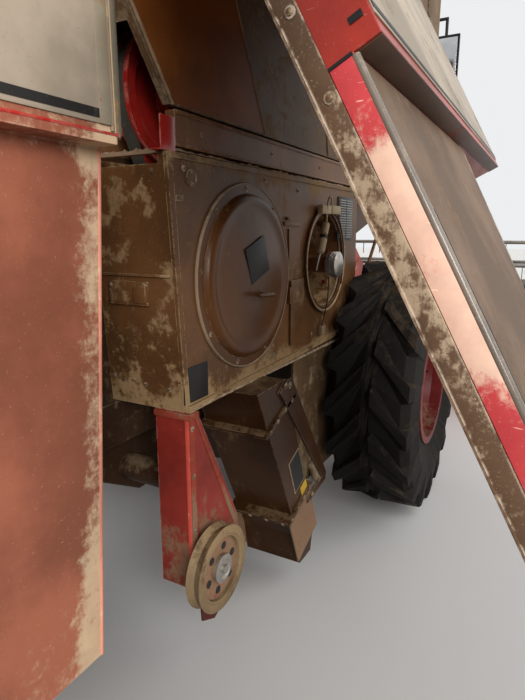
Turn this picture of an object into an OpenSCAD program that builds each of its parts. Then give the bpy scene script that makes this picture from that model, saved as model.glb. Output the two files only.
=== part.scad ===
// Self-propelled combine harvester, with its grain header down and its right side door propped open.
// X points forward, Y to the left and Z up. Places below are measured from the front axle on the
// ground, and the whole machine is then set so that its origin is under its middle.

/* [Wheels] */
// Diameter of a front tyre over its lugs
front_tyre_d = 1450; // [1300:10:1560]
// Width of a front tyre
front_tyre_w = 460; // [380:10:520]
// Distance from the middle to a front wheel's middle
front_track_y = 1215; // [1215:5:1300]
// Diameter of a rear tyre over its ribs
rear_tyre_d = 860; // [800:10:880]
// Width of a rear tyre
rear_tyre_w = 250; // [200:10:260]
// Distance from the middle to a rear wheel's middle
rear_track_y = 1080; // [1070:5:1150]
// Distance between the axles
wheelbase = 3450; // [3400:10:3600]

/* [Body] */
// Half the width of the threshing and separating body
core_y = 640; // [620:5:660]
// Height of the body's top
core_top_z = 1950; // [1940:5:1970]
// Half the width over the side doors and panels
clad_y = 1250; // [1240:5:1270]
// Thickness of formed sheet panels
sheet_t = 20; // [12:1:25]
// Height of the straw hood's roof
hood_top_z = 2060; // [2040:5:2080]

/* [Grain tank] */
// Height of the tank's rim
tank_top_z = 3250; // [3150:10:3350]
// Height where the tank steps out to its full width
tank_step_z = 2680; // [2680:5:2700]
// Half the width of the tank's lower part
tank_low_y = 950; // [930:5:960]

/* [Side doors] */
// Length of a side door
door_l = 1694; // [1600:2:1700]
// Height of a side door
door_h = 1910; // [1860:5:1910]
// Depth of a side door's pressing
door_t = 80; // [60:1:85]
// Length of the door's lower skin along the band
door_skin_l = 955; // [800:5:1000]
// How far the white band stands proud of panels and doors
band_t = 45; // [30:1:50]
// Height of the band's lower edge
band_low_z = 1745; // [1700:5:1780]
// Angle that the right door is propped open
door_open = 28; // [0:1:43]

/* [Header] */
// Width of the header over its dividers
header_w = 4300; // [4000:20:4600]
// Radius of the reel's bat tubes
reel_r = 430; // [400:5:440]
// Length of a reel tine
tine_l = 130; // [90:5:135]
// Outer radius of the header auger's flighting
auger_r = 250; // [230:5:255]

/* [Hidden] */
$fn = 64;
eps = 0.3;
run_gap = 0.05;
front_z = front_tyre_d / 2;
rear_z = rear_tyre_d / 2;
rear_x = -wheelbase;

// Chassis rails
rail_in_y = core_y - 100;
rail_w = 100;
rail_low_z = 850;
rail_top_z = 1010;
rail_back_x = -4250;
rail_front_x = 700;

// Feeder pivot and the header hung from it
feeder_x = 960;
feeder_z = 1300;
feeder_r = 250;
feeder_y = 520;
header_back_x = 2060;
header_low_z = 60;
header_top_z = 900;
header_y = header_w / 2;
divider_tip_x = 3720;
auger_x = 2400;
auger_z = 430;
reel_pivot_x = 2080;
reel_pivot_z = 960;
reel_x = 2960;
reel_z = 1080;

// Straw hood behind the threshing body, and the engine cover on it
core_back_x = -1950;
core_front_x = 1150;
hood_back_x = -4550;
cover_back_x = -3700;
cover_front_x = -2480;
cover_top_z = 2900;

// Straw deflector at the rear end
deflector_x = hood_back_x - 35;
deflector_z = 1330;
deflector_l = 480;
deflector_t = 24;
deflector_fall = 110;
rear_tip_x = deflector_x + deflector_l * cos(deflector_fall) - deflector_t / 2 * sin(deflector_fall);
place_x = -(divider_tip_x + rear_tip_x) / 2;

// Steering
kingpin_y = 870;
axle_beam_z = 560;
arm_l = 180;
steer_z = axle_beam_z - 125;

// Right housing, whose rear wall leans back and whose floor rises forward
house_y = 960;
house_back_x = -1820;
house_front_x = -160;
house_low_z = 1027;
house_rise = 43;
house_lean = 55;
house_top_z = 1835;
lip_h = 22;
lip_t = 14;
cover_x = -1420;
cover_z = 1440;
cover_d = 670;
ring_x = -660;
ring_z = 1471;
ring_d = 500;
ring_depth = 190;
plate_back_x = -1000;
plate_front_x = -215;
plate_low_z = 360;
plate_t = 15;
function house_floor(x) =
    house_low_z + house_rise * (x - house_back_x) / (house_front_x - house_back_x);
// Top of what hangs below the housing's floor
function below_floor(x) = house_floor(x) - eps;

// Big belt pulley behind the tank's side plate
pulley_x = -1640;
pulley_y = 770;
pulley_z = 2030;
pulley_r = 215;
room_in_y = core_y + 2;

// Returns leg and its foot pulley
leg_y = 970;
leg_w = 140;
foot_x = -1767;
foot_z = 457;
foot_y = 1055;
foot_r = 150;
foot_w = 50;

// Grain elevator
elevator_y = 1080;
elevator_w = 280;
brace_t = 12;

// Rear panels and side doors
panel_front_x = -2430;
panel_low_x = panel_front_x - 80;
panel_back_x = -4300;
panel_gap = 55;
door_back_x = panel_front_x + panel_gap;
door_skin_rake = 250;
hinge_y = clad_y + 12;
hinge_z = tank_step_z - 12;
hinge_leaf = 70;
door_rim = 90;
door_skin_t = 6;
panel_low_z = 780;

// Grain tank, whose rear wall leans back over the straw hood
tank_back_x = -1832;
tank_front_x = 300;
tank_lean = (tank_step_z - core_top_z) * tan(36.8);
tank_seam = 12;

// Unloading auger, swung back along the left side
unload_x = -155;
unload_y = 1420;
unload_z = 3050;
unload_low_z = 2880;
unload_r = 140;

// Lift cylinders
lift_y = 430;
lift_x = 150;
lift_z = 520;
lift_eye_x = 1500;
lift_eye_z = 560;
lift_angle = atan2(lift_eye_z - lift_z, lift_eye_x - lift_x);
lift_l = norm([lift_eye_z - lift_z, lift_eye_x - lift_x]);

paint_red = [0.62, 0.10, 0.08];
paint_brown = [0.30, 0.20, 0.13];
paint_white = [0.85, 0.84, 0.78];
steel = [0.55, 0.54, 0.50];
rubber = [0.10, 0.10, 0.10];

// An outline in X and Z, made as thick as the space between two places across the machine
module across(outline, y0, y1)
    translate([0, y1, 0]) rotate([90, 0, 0]) linear_extrude(y1 - y0) polygon(outline);

// The same piece on the right and on the left
module both_sides() for (side = [0, 1]) mirror([0, side, 0]) children();

// A round bar along Y between two places
module bar_y(x, z, r, y0, y1)
    translate([x, y0, z]) rotate([-90, 0, 0]) cylinder(r = r, h = y1 - y0);

// A plate between two corners
module box(from, to) translate(from) cube(to - from);

module chassis() color(steel) {
    both_sides() box([rail_back_x, rail_in_y, rail_low_z],
        [rail_front_x, rail_in_y + rail_w, rail_top_z]);
    for (x = [rail_back_x + 20, -1000, 560])
        box([x, -rail_in_y, rail_low_z + 20], [x + 100, rail_in_y, rail_top_z - 20]);
    difference() {
        union() {
            box([rear_x - 80, -core_y, 690], [rear_x + 80, core_y, rail_low_z]);
            for (x = [-105, 77])
                box([rear_x + x, -110, axle_beam_z - 60], [rear_x + x + 28, 110, 690]);
        }
        translate([rear_x - 120, 0, axle_beam_z]) rotate([0, 90, 0]) cylinder(r = 35.2, h = 240);
    }
    difference() {
        box([rail_back_x - 150, -60, rail_low_z + 30], [rail_back_x + 20, 60, rail_low_z + 110]);
        box([rail_back_x - 160, -70, rail_low_z + 55], [rail_back_x - 20, 70, rail_low_z + 85]);
        translate([rail_back_x - 90, 0, rail_low_z]) cylinder(r = 16, h = 140);
    }
}

module front_axle() color(paint_brown) {
    box([-110, -760, front_z - 110], [110, 760, front_z + 110]);
    both_sides() box([-90, rail_in_y, front_z + 110], [90, core_y, rail_low_z]);
    bar_y(0, front_z, 230, -190, -60);
    both_sides() {
        bar_y(0, front_z, 200, 760, front_track_y - front_tyre_w / 2 - 30);
        bar_y(0, front_z, 70, front_track_y - front_tyre_w / 2 - 30, front_track_y + 30);
        difference() {
            box([lift_x - 60, lift_y + 50, lift_z - 45], [lift_x + 45, lift_y + 70, front_z]);
            bar_y(lift_x, lift_z, 20 + run_gap, lift_y + 40, lift_y + 80);
        }
    }
}

module rear_axle() color(paint_brown) {
    box([rear_x - 70, -800, axle_beam_z - 70], [rear_x + 70, 800, axle_beam_z + 70]);
    translate([rear_x - 110, 0, axle_beam_z]) rotate([0, 90, 0]) cylinder(r = 35, h = 220);
    both_sides() difference() {
        union() {
            translate([rear_x, kingpin_y, axle_beam_z - 70]) cylinder(r = 50, h = 140);
            box([rear_x - 50, 790, axle_beam_z - 70], [rear_x + 50, kingpin_y, axle_beam_z + 70]);
        }
        translate([rear_x, kingpin_y, axle_beam_z - 80]) cylinder(r = 25 + run_gap, h = 160);
    }
    difference() {
        union() {
            bar_y(rear_x - arm_l, steer_z, 34, -260, 260);
            box([rear_x - arm_l, -60, axle_beam_z - 155], [rear_x - 60, 60, axle_beam_z - 70]);
        }
        bar_y(rear_x - arm_l, steer_z, 14 + run_gap, -270, 270);
    }
}

function core_outline() = [[core_back_x, rail_top_z], [rail_front_x, rail_top_z],
    [rail_front_x, 1580], [core_front_x, 1700], [core_front_x, core_top_z],
    [core_back_x, core_top_z]];

module threshing_body() color(paint_brown) {
    across(core_outline(), -core_y, core_y);
    both_sides() {
        difference() {
            across([[rail_front_x, 1180], [feeder_x + 80, 1220], [feeder_x + 80, 1380],
                [rail_front_x, 1500]], feeder_y + 8, feeder_y + 38);
            bar_y(feeder_x, feeder_z, 40 + run_gap, feeder_y, feeder_y + 50);
        }
        across([[core_front_x, 1720], [1700, core_top_z], [core_front_x, core_top_z]],
            core_y - 60, core_y - 20);
    }
}

module straw_hood() color(paint_red) {
    both_sides() difference() {
        across([[hood_back_x + 5, deflector_z + 100], [deflector_x - 35, deflector_z + 20],
            [deflector_x - 35, deflector_z - 30], [deflector_x + 5, deflector_z - 30],
            [hood_back_x + 5, deflector_z + 25]], core_y - sheet_t, core_y);
        bar_y(deflector_x, deflector_z, 12 + run_gap, core_y - 40, core_y + 20);
    }
    hood_shell();
}

module hood_shell() difference() {
    across([[core_back_x, rail_top_z], [core_back_x, hood_top_z], [cover_back_x, hood_top_z],
        [hood_back_x, 1760], [hood_back_x, 1350], [hood_back_x + 200, rail_top_z]],
        -core_y, core_y);
    across([[core_back_x + 10, 900], [core_back_x + 10 - sheet_t, hood_top_z - sheet_t],
        [cover_back_x + 3, hood_top_z - sheet_t], [hood_back_x + sheet_t, 1745],
        [hood_back_x + sheet_t, 1350], [hood_back_x - 150, 1350], [hood_back_x - 150, 900]],
        -core_y + sheet_t, core_y - sheet_t);
}

module straw_walkers() color(steel) {
    for (x = [-2400, -3800])
        bar_y(x, 1180 - (x + 2400) * 0.12, 25, -core_y + sheet_t, core_y - sheet_t);
    for (i = [-2:2])
        difference() {
            across([[-2000, 1250], [-2350, 1210], [-2350, 1100], [-2450, 1110], [-2450, 1230],
                [-3750, 1385], [-3750, 1280], [-3850, 1290], [-3850, 1410], [-4300, 1470],
                [-4300, 1600], [-3700, 1530], [-3700, 1590], [-3100, 1460], [-3100, 1520],
                [-2500, 1390], [-2500, 1450], [-2000, 1340]], i * 240 - 105, i * 240 + 105);
            for (x = [-2400, -3800])
                bar_y(x, 1180 - (x + 2400) * 0.12, 25.2, i * 240 - 110, i * 240 + 110);
        }
}

module cleaning_shoe() color(paint_brown)
    across([[-3800, rail_top_z], [-1080, rail_top_z], [-1080, 780], [-1300, 560], [-1600, 560],
        [-1850, 700], [-2100, 560], [-2400, 560], [-2650, 740], [-2950, 870], [-3800, 890]],
        -rail_in_y, rail_in_y);

// The room behind the side plates that the big pulley turns in
module pulley_room() box([pulley_x - pulley_r - 120, -house_y + 35, pulley_z - pulley_r - 15],
    [pulley_x + pulley_r + 20, -room_in_y, pulley_z + pulley_r + 20]);

module right_housing() color(paint_brown) difference() {
    union() {
        across([[house_back_x, house_low_z], [house_front_x, house_floor(house_front_x)],
            [house_front_x - 30, house_top_z + 5], [house_back_x - house_lean, house_top_z - 5]],
            -house_y, -core_y);
        across([[house_back_x, house_low_z], [house_front_x, house_floor(house_front_x)],
            [house_front_x, house_floor(house_front_x) + lip_h],
            [house_back_x, house_low_z + lip_h]], -house_y - lip_t, -house_y);
    }
    bar_y(ring_x, ring_z, ring_d / 2 - 20, -house_y - 10, -house_y + ring_depth);
    pulley_room();
}

// Plate that hangs below the housing, just inside the front wheel
module side_plate() color(paint_brown)
    across([[plate_back_x, plate_low_z + 60], [plate_back_x, below_floor(plate_back_x)],
        [plate_front_x, below_floor(plate_front_x)], [plate_front_x, plate_low_z + 130],
        [plate_front_x - 120, plate_low_z], [plate_back_x + 80, plate_low_z]],
        -house_y, -house_y + plate_t);

module drum_cover() color(paint_brown) translate([cover_x, -house_y, cover_z]) rotate([90, 0, 0])
    rotate_extrude() polygon([[0, 0], [cover_d / 2, 0], [cover_d / 2, 8], [cover_d / 2 - 34, 10],
        [cover_d / 2 - 40, 22], [cover_d / 2 - 47, 30], [cover_d / 2 - 60, 34],
        [cover_d / 2 - 73, 31], [cover_d / 2 - 85, 28], [cover_d / 2 - 110, 29],
        [cover_d / 2 - 155, 34], [cover_d / 2 - 215, 39], [cover_d / 2 - 275, 42], [0, 43]]);

module belt_tensioner() color(steel) {
    translate([ring_x, -house_y, ring_z]) rotate([90, 0, 0]) difference() {
        cylinder(r = ring_d / 2, h = 14);
        translate([0, 0, -5]) cylinder(r = ring_d / 2 - 22, h = 30);
    }
    bar_y(ring_x, ring_z - 20, 40, -house_y - 30, -house_y + ring_depth);
    bar_y(ring_x, ring_z - 20, 60, -house_y - 50, -house_y - 30);
    box([ring_x - 120, -house_y - 34, ring_z + ring_d / 2 - 25],
        [ring_x + 110, -house_y - lip_t, ring_z + ring_d / 2 + 5]);
}

module returns_leg() color(paint_red) {
    across([[house_back_x, below_floor(house_back_x)],
        [house_back_x + 40, below_floor(house_back_x + 40)], [house_back_x + 290, 530],
        [house_back_x + 300, 450], [house_back_x + 250, 385], [house_back_x, 372]],
        -leg_y, -leg_y + leg_w);
    bar_y(house_back_x + 160, 690, 50, -leg_y + leg_w, -rail_in_y);
    bar_y(foot_x, foot_z, 18, -foot_y + 20, -leg_y);
}

module grain_elevator() color(paint_brown) {
    across([[-1560, below_floor(-1560)], [-1330, below_floor(-1330)], [-1010, 260], [-1040, 120],
        [-1160, 120], [-1190, 275]], -elevator_y, -elevator_y + elevator_w);
    across([[-1440, rail_low_z - 5], [-1260, rail_low_z - 5], [-1190, 620], [-1300, 620]],
        -elevator_y + elevator_w, -rail_in_y);
    across([[-1400, 1000], [-1343, 1036], [-1293, 1038], [-890, 466], [-900, 430], [-1110, 400],
        [-1110, 430], [-945, 460]], -elevator_y - brace_t, -elevator_y);
}

module foot_pulley() color(paint_white) translate([foot_x, -foot_y, foot_z]) rotate([-90, 0, 0])
    difference() {
        rotate_extrude() polygon([[0, 5], [45, 5], [45, 18], [112, 18], [112, 0], [foot_r, 0],
            [foot_r - 12, foot_w / 2], [foot_r, foot_w], [112, foot_w], [112, 30], [45, 30],
            [45, foot_w], [0, foot_w]]);
        translate([0, 0, 15]) cylinder(r = 18 + run_gap, h = foot_w);
    }

module grain_tank() color(paint_brown) {
    difference() {
        union() {
            across([[tank_back_x, core_top_z], [tank_front_x, core_top_z],
                [tank_front_x, tank_step_z], [tank_back_x - tank_lean, tank_step_z]],
                -tank_low_y, tank_low_y);
            box([tank_back_x - tank_lean, -clad_y, tank_step_z],
                [tank_front_x, clad_y, tank_top_z]);
        }
        across([[-900, core_top_z + sheet_t], [-300, core_top_z + sheet_t],
            [tank_front_x - sheet_t, core_top_z + 450],
            [tank_front_x - sheet_t, tank_step_z + sheet_t + 1],
            [tank_back_x - tank_lean + 40, tank_step_z + sheet_t + 1]], -core_y + 20, core_y - 20);
        across([[tank_back_x - 130, tank_step_z - 200], [tank_front_x - 100, tank_step_z - 200],
            [tank_front_x - 100, tank_step_z + sheet_t + 1],
            [tank_back_x - 270, tank_step_z + sheet_t + 1]],
            -tank_low_y + sheet_t, tank_low_y - sheet_t);
        both_sides() box([tank_back_x - 60, -tank_low_y - 1, core_top_z - 1],
            [tank_front_x + 1, -core_y, core_top_z + tank_seam]);
        pulley_room();
        box([tank_back_x - tank_lean + sheet_t, -clad_y + sheet_t, tank_step_z + sheet_t],
            [tank_front_x - sheet_t, clad_y - sheet_t, tank_top_z + 10]);
    }
    box([unload_x - unload_r, tank_low_y, core_top_z + 100],
        [unload_x + unload_r, unload_y, core_top_z + 400]);
    translate([unload_x, unload_y, core_top_z + 100])
        cylinder(r = unload_r + 5, h = unload_low_z - core_top_z - 100);
    both_sides() door_hinge(0);
}

// Leaves of a side door's hinge: 0 is fixed to the tank and 1 to the door
module door_hinge(part) for (x = [door_back_x - 5, door_back_x + 725, door_back_x + 1415])
    translate([x + part * 61, -hinge_y, hinge_z]) {
        difference() {
            union() {
                rotate([0, 90, 0]) cylinder(r = 12, h = 60);
                translate([0, 0, -part * hinge_leaf]) cube([60, 12, hinge_leaf]);
            }
            if (part == 1) translate([-5, 0, 0]) rotate([0, 90, 0])
                cylinder(r = 6 + run_gap, h = 70);
        }
        if (part == 0) rotate([0, 90, 0]) cylinder(r = 6, h = 118);
    }

module tank_sills() color(paint_brown) difference() {
    both_sides() box([tank_back_x, -house_y, house_top_z + 15],
        [tank_front_x, -core_y, core_top_z]);
    pulley_room();
}

module drive_pulley() color(paint_red) {
    translate([pulley_x, -pulley_y, pulley_z]) rotate([90, 0, 0]) rotate_extrude()
        polygon([[0, -40], [50, -40], [50, -8], [pulley_r - 60, -8], [pulley_r - 45, -30],
            [pulley_r, -30], [pulley_r, -22], [pulley_r - 22, 0], [pulley_r, 22],
            [pulley_r, 30], [pulley_r - 45, 30], [pulley_r - 60, 8], [50, 8], [50, 50], [0, 50]]);
    bar_y(pulley_x, pulley_z, 30, -pulley_y + 40, -room_in_y);
}

// Grooved pulleys of the left side: X, Z, radius and distance from the body
left_pulleys = [[-1300, 1500, 260, 20], [-500, 1450, 200, 20], [-2100, 1300, 160, 20],
    [-1650, 1740, 90, 20], [-60, 1700, 120, 110], [-2100, 1700, 100, 110]];
module left_drives() color(paint_red) for (p = left_pulleys)
    translate([p[0], core_y, p[1]]) rotate([-90, 0, 0]) {
        cylinder(r = 25, h = p[3] + 20);
        translate([0, 0, p[3]]) rotate_extrude() polygon([[0, 0], [45, 0], [45, 20],
            [p[2] - 40, 20], [p[2] - 30, 0], [p[2], 0], [p[2] - 22, 25], [p[2], 50],
            [p[2] - 30, 50], [p[2] - 40, 30], [45, 30], [45, 60], [0, 60]]);
    }

module engine_block() color(steel)
    box([cover_back_x + 200, -330, hood_top_z], [cover_front_x - 220, 330, cover_top_z - 100]);

module engine_cover() color(paint_red) difference() {
    across([[cover_back_x, hood_top_z], [cover_front_x, hood_top_z], [cover_front_x, cover_top_z],
        [cover_back_x + 200, cover_top_z], [cover_back_x, cover_top_z - 150]], -core_y, core_y);
    across([[cover_back_x + sheet_t, hood_top_z - 1], [cover_front_x - sheet_t, hood_top_z - 1],
        [cover_front_x - sheet_t, cover_top_z - sheet_t],
        [cover_back_x + 208, cover_top_z - sheet_t],
        [cover_back_x + sheet_t, cover_top_z - 158]], -core_y + sheet_t, core_y - sheet_t);
}

handrail_h = 900;
rail_r = 16;
exhaust_x = -3220;
exhaust_y = 380;
cab_back_x = 340;
cab_front_x = 1740;
cab_y = 720;
cab_low_z = core_top_z + 60;
cab_top_z = 3250;
cab_door_x = 520;
cab_door_l = 900;
cab_door_z = cab_low_z + 20;
cab_door_h = 1150;
cab_hinge_x = cab_door_x - 25;
cab_hinge_y = cab_y + 28;

// Knuckles of the cab door's hinges: 0 is on the cab and 1 on the door
module cab_hinge(part) for (z = [cab_door_z + 120, cab_door_z + cab_door_h - 180])
    translate([cab_hinge_x, cab_hinge_y, z + part * 61]) {
        difference() {
            union() {
                cylinder(r = 12, h = 60);
                if (part == 0) translate([-6, cab_y - cab_hinge_y, 0])
                    cube([12, cab_hinge_y - cab_y, 60]);
                if (part == 1) translate([0, -6, 0]) cube([cab_door_x - cab_hinge_x, 12, 60]);
            }
            if (part == 1) translate([0, 0, -5]) cylinder(r = 6 + run_gap, h = 70);
        }
        if (part == 0) cylinder(r = 6, h = 118);
    }

module cab_shell() color(paint_red) {
    cab_box();
    cab_hinge(0);
}

module cab_box() difference() {
    across([[cab_back_x, cab_low_z], [1640, cab_low_z], [cab_front_x, 2300],
        [1700, cab_top_z], [cab_back_x, cab_top_z]], -cab_y, cab_y);
    across([[cab_back_x + 50, cab_low_z + 40], [1600, cab_low_z + 40], [cab_front_x - 50, 2310],
        [1655, cab_top_z + 1], [cab_back_x + 50, cab_top_z + 1]], -cab_y + 50, cab_y - 50);
    box([1500, -cab_y + 60, 2400], [1800, cab_y - 60, cab_top_z - 50]);
    box([cab_back_x - 10, -cab_y + 80, 2750], [cab_back_x + 60, cab_y - 80, cab_top_z - 60]);
    box([480, -cab_y - 10, 2400], [1590, -cab_y + 60, cab_top_z - 60]);
    box([cab_door_x, cab_y - 60, cab_door_z + 30], [cab_door_x + cab_door_l, cab_y + 10,
        cab_door_z + cab_door_h - 30]);
}

module cab_glass() color([0.6, 0.7, 0.75]) {
    box([480, -cab_y + 20, 2400], [1590, -cab_y + 26, cab_top_z - 60]);
    box([cab_back_x + 20, -cab_y + 80, 2750], [cab_back_x + 26, cab_y - 80, cab_top_z - 60]);
    across([[1732, 2400], [1738, 2400], [1706, cab_top_z - 50], [1700, cab_top_z - 50]],
        -cab_y + 60, cab_y - 60);
}

module cab_roof() color(paint_white)
    across([[cab_back_x - 40, cab_top_z], [1820, cab_top_z], [1820, cab_top_z + 110],
        [1600, cab_top_z + 160], [cab_back_x, cab_top_z + 160]], -cab_y - 40, cab_y + 40);

module cab_door() color(paint_red) {
    difference() {
        box([cab_door_x - 10, cab_y + eps, cab_door_z], [cab_door_x + cab_door_l + 10,
            cab_y + 40, cab_door_z + cab_door_h]);
        box([cab_door_x + 50, cab_y - 10, cab_door_z + 250], [cab_door_x + cab_door_l - 50,
            cab_y + 50, cab_door_z + cab_door_h - 60]);
    }
    box([cab_door_x + 50, cab_y + 15, cab_door_z + 250], [cab_door_x + cab_door_l - 50,
        cab_y + 21, cab_door_z + cab_door_h - 60]);
    cab_hinge(1);
}

module driver_station() color(rubber) {
    box([600, -250, cab_low_z + 40], [1000, 250, 2420]);
    box([560, -250, 2420], [660, 250, 3000]);
    translate([1350, 0, cab_low_z + 40]) cylinder(r = 45, h = 500);
    translate([1350, 0, 2550]) cylinder(r = 210, h = 30);
}

module cab_platform() color(paint_brown) {
    box([310, -cab_y - 40, core_top_z], [1800, clad_y, cab_low_z]);
    for (x = [900, 1300]) box([x, clad_y, 620], [x + 30, clad_y + 40, cab_low_z]);
    for (i = [0:4]) box([930, clad_y, 640 + i * 300], [1300, clad_y + 40, 670 + i * 300]);
}

module handrail() color(paint_brown) {
    for (p = [[1410, clad_y - 25], [1775, clad_y - 25], [1775, cab_y + 100]])
        translate([p[0], p[1], cab_low_z]) cylinder(r = rail_r, h = handrail_h);
    for (z = [handrail_h / 2, handrail_h]) {
        translate([1410, clad_y - 25, cab_low_z + z]) rotate([0, 90, 0])
            cylinder(r = rail_r - 1, h = 365);
        bar_y(1775, cab_low_z + z, rail_r - 1, cab_y + 100, clad_y - 25);
    }
}

module mirrors() color(rubber) both_sides() {
    bar_y(1760, cab_top_z + 50, 12, cab_y + 40, cab_y + 300);
    translate([1760, cab_y + 290, cab_top_z - 320]) cylinder(r = 12, h = 370);
    box([1735, cab_y + 200, cab_top_z - 400], [1760, cab_y + 400, cab_top_z - 80]);
}

module exhaust() color(steel) {
    translate([exhaust_x, exhaust_y, cover_top_z]) cylinder(r = 75, h = 180);
    translate([exhaust_x, exhaust_y, cover_top_z + 180]) cylinder(r = 38, h = 230);
}

module engine_screen() color(rubber) both_sides() difference() {
    bar_y(exhaust_x + 120, 2480, 300, core_y, core_y + 45);
    bar_y(exhaust_x + 120, 2480, 265, core_y + 15, core_y + 50);
}

module lamps() color(paint_white) both_sides()
    for (y = [420, 620]) box([1820, y, cab_top_z + 20], [1870, y + 120, cab_top_z + 90]);

module rear_panel() color(paint_red) {
    difference() {
        across([[panel_low_x, panel_low_z], [panel_front_x, band_low_z],
            [panel_front_x, hood_top_z], [panel_back_x, hood_top_z],
            [panel_back_x, panel_low_z + 220], [-3000, panel_low_z + 220], [-2860, panel_low_z]],
            -clad_y, -core_y);
        across([[panel_low_x - sheet_t, panel_low_z - 1], [panel_front_x - sheet_t, band_low_z],
            [panel_front_x - sheet_t, hood_top_z - sheet_t],
            [panel_back_x + sheet_t, hood_top_z - sheet_t],
            [panel_back_x + sheet_t, panel_low_z + 219], [-3000, panel_low_z + 219],
            [-2860, panel_low_z - 1]], -clad_y + sheet_t, -core_y + 1);
        box([panel_low_x - sheet_t - 1, -clad_y + 80, panel_low_z - 1],
            [panel_front_x + 1, -core_y + 1, hood_top_z - sheet_t]);
    }
    box([panel_back_x, -clad_y - band_t, band_low_z], [panel_front_x, -clad_y, hood_top_z]);
}

module rear_panel_right() rear_panel();

module rear_panel_left() {
    mirror([0, 1, 0]) rear_panel();
    color(paint_brown) {
        rest_z = unload_z - unload_r - 40;
        box([panel_back_x + 380, clad_y - 60, hood_top_z],
            [panel_back_x + 420, clad_y - 20, rest_z]);
        box([panel_back_x + 380, clad_y - 60, rest_z],
            [panel_back_x + 420, unload_y + 120, rest_z + 40 - eps]);
    }
}

// A side door: its upper band runs on over the front wheel, and its skin ends short of the wheel
module door_panel() color(paint_red) translate([door_back_x, -clad_y, 0]) {
    top_z = hinge_z - 8;
    low_z = top_z - door_h;
    low_l = door_skin_l - door_skin_rake;
    difference() {
        across([[0, low_z], [low_l, low_z], [door_skin_l, band_low_z], [door_l, band_low_z],
            [door_l, top_z], [0, top_z]], 0, door_t);
        across([[door_rim, low_z + door_rim], [low_l - door_rim, low_z + door_rim],
            [door_skin_l - door_rim, band_low_z - door_rim / 2],
            [door_rim, band_low_z - door_rim / 2]], door_skin_t, door_t + 1);
        box([door_rim, door_skin_t, band_low_z + door_rim / 2],
            [door_l - door_rim, door_t + 1, top_z - door_rim]);
    }
    box([0, -band_t, band_low_z], [door_l, 0, hinge_z - hinge_leaf - 10]);
}

module right_door() translate([0, -hinge_y, hinge_z]) rotate([-door_open, 0, 0])
    translate([0, hinge_y, -hinge_z]) {
        door_panel();
        color(paint_brown) door_hinge(1);
    }

module left_door() mirror([0, 1, 0]) {
    door_panel();
    color(paint_brown) door_hinge(1);
}

module straw_deflector() color(paint_red) translate([deflector_x, 0, deflector_z])
    rotate([0, deflector_fall, 0]) {
        box([0, -600, -deflector_t / 2], [deflector_l, 600, deflector_t / 2]);
        bar_y(0, 0, 12, -core_y - 5, core_y + 5);
    }

module unloading_auger() color(paint_red) {
    translate([unload_x, unload_y, unload_low_z + eps]) cylinder(r = unload_r + 10, h = 300);
    translate([unload_x, unload_y, unload_z]) rotate([0, -90, 0]) cylinder(r = unload_r, h = 4200);
}

module knuckle() color(paint_brown) translate([rear_x, -kingpin_y, 0]) {
    translate([0, 0, axle_beam_z - 105]) cylinder(r = 25, h = 210);
    for (z = [axle_beam_z - 105, axle_beam_z + 75])
        box([-60, -85, z], [60, 40, z + 30]);
    box([-60, -85, axle_beam_z - 180], [60, -58, axle_beam_z + 105]);
    box([-arm_l - 30, -25, axle_beam_z - 105], [-60, 25, axle_beam_z - 75]);
    bar_y(0, rear_z, 35, -(rear_track_y - kingpin_y) - 30, -70);
}

module knuckle_right() knuckle();
module knuckle_left() mirror([0, 1, 0]) knuckle();

module tie_rod() color(steel) {
    bar_y(rear_x - arm_l, steer_z, 14, -kingpin_y, kingpin_y);
}

// A wheel's rim round Y from its middle, its dished disc towards the outside
module rim(seat_r, half_w, axle_r, hub_r) rotate([90, 0, 0]) difference() {
    rotate_extrude($fn = 96) polygon([[0, 45], [hub_r, 45], [hub_r, 28], [seat_r - 60, 28],
        [seat_r - 18, half_w - 60], [seat_r - 18, half_w + 10], [seat_r + 22, half_w + 10],
        [seat_r + 22, half_w], [seat_r, half_w], [seat_r, -half_w], [seat_r + 22, -half_w],
        [seat_r + 22, -half_w - 10], [seat_r - 18, -half_w - 10], [seat_r - 18, half_w - 76],
        [seat_r - 64, 14], [hub_r, 14], [hub_r, -20], [0, -20]]);
    translate([0, 0, -30]) cylinder(r = axle_r + run_gap, h = 65);
}

// A ribbed tyre round Y on a rim of the same seat
module tyre(d, w, seat_r, half_w) rotate([90, 0, 0]) rotate_extrude($fn = 96)
    polygon(concat([[seat_r, -half_w], [seat_r + 30, -half_w],
        [seat_r + 0.55 * (d / 2 - seat_r), -w / 2], [d / 2 - 40, -w / 2 + 10]],
        [for (rib = [-2:2]) each [[d / 2 - 14, (rib - 0.5) * rib_w + 5],
            [d / 2 - abs(rib) * 3, (rib - 0.5) * rib_w + 9],
            [d / 2 - abs(rib) * 3, (rib + 0.5) * rib_w - 9],
            [d / 2 - 14, (rib + 0.5) * rib_w - 5]]],
        [[d / 2 - 40, w / 2 - 10], [seat_r + 0.55 * (d / 2 - seat_r), w / 2],
        [seat_r + 30, half_w], [seat_r, half_w]]));

// Stations of one lug's pitch round the tyre: share of the pitch, and 1 on the lug
lug_stations = [[0, 0], [0.08, 1], [0.38, 1], [0.46, 0]];
lug_pitches = 18;
lug_sweep = 17;
lug_h = 38;
lug_count = len(lug_stations) * lug_pitches;
lug_gap = (1 - lug_stations[len(lug_stations) - 1][0]) * 360 / lug_pitches;

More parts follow.
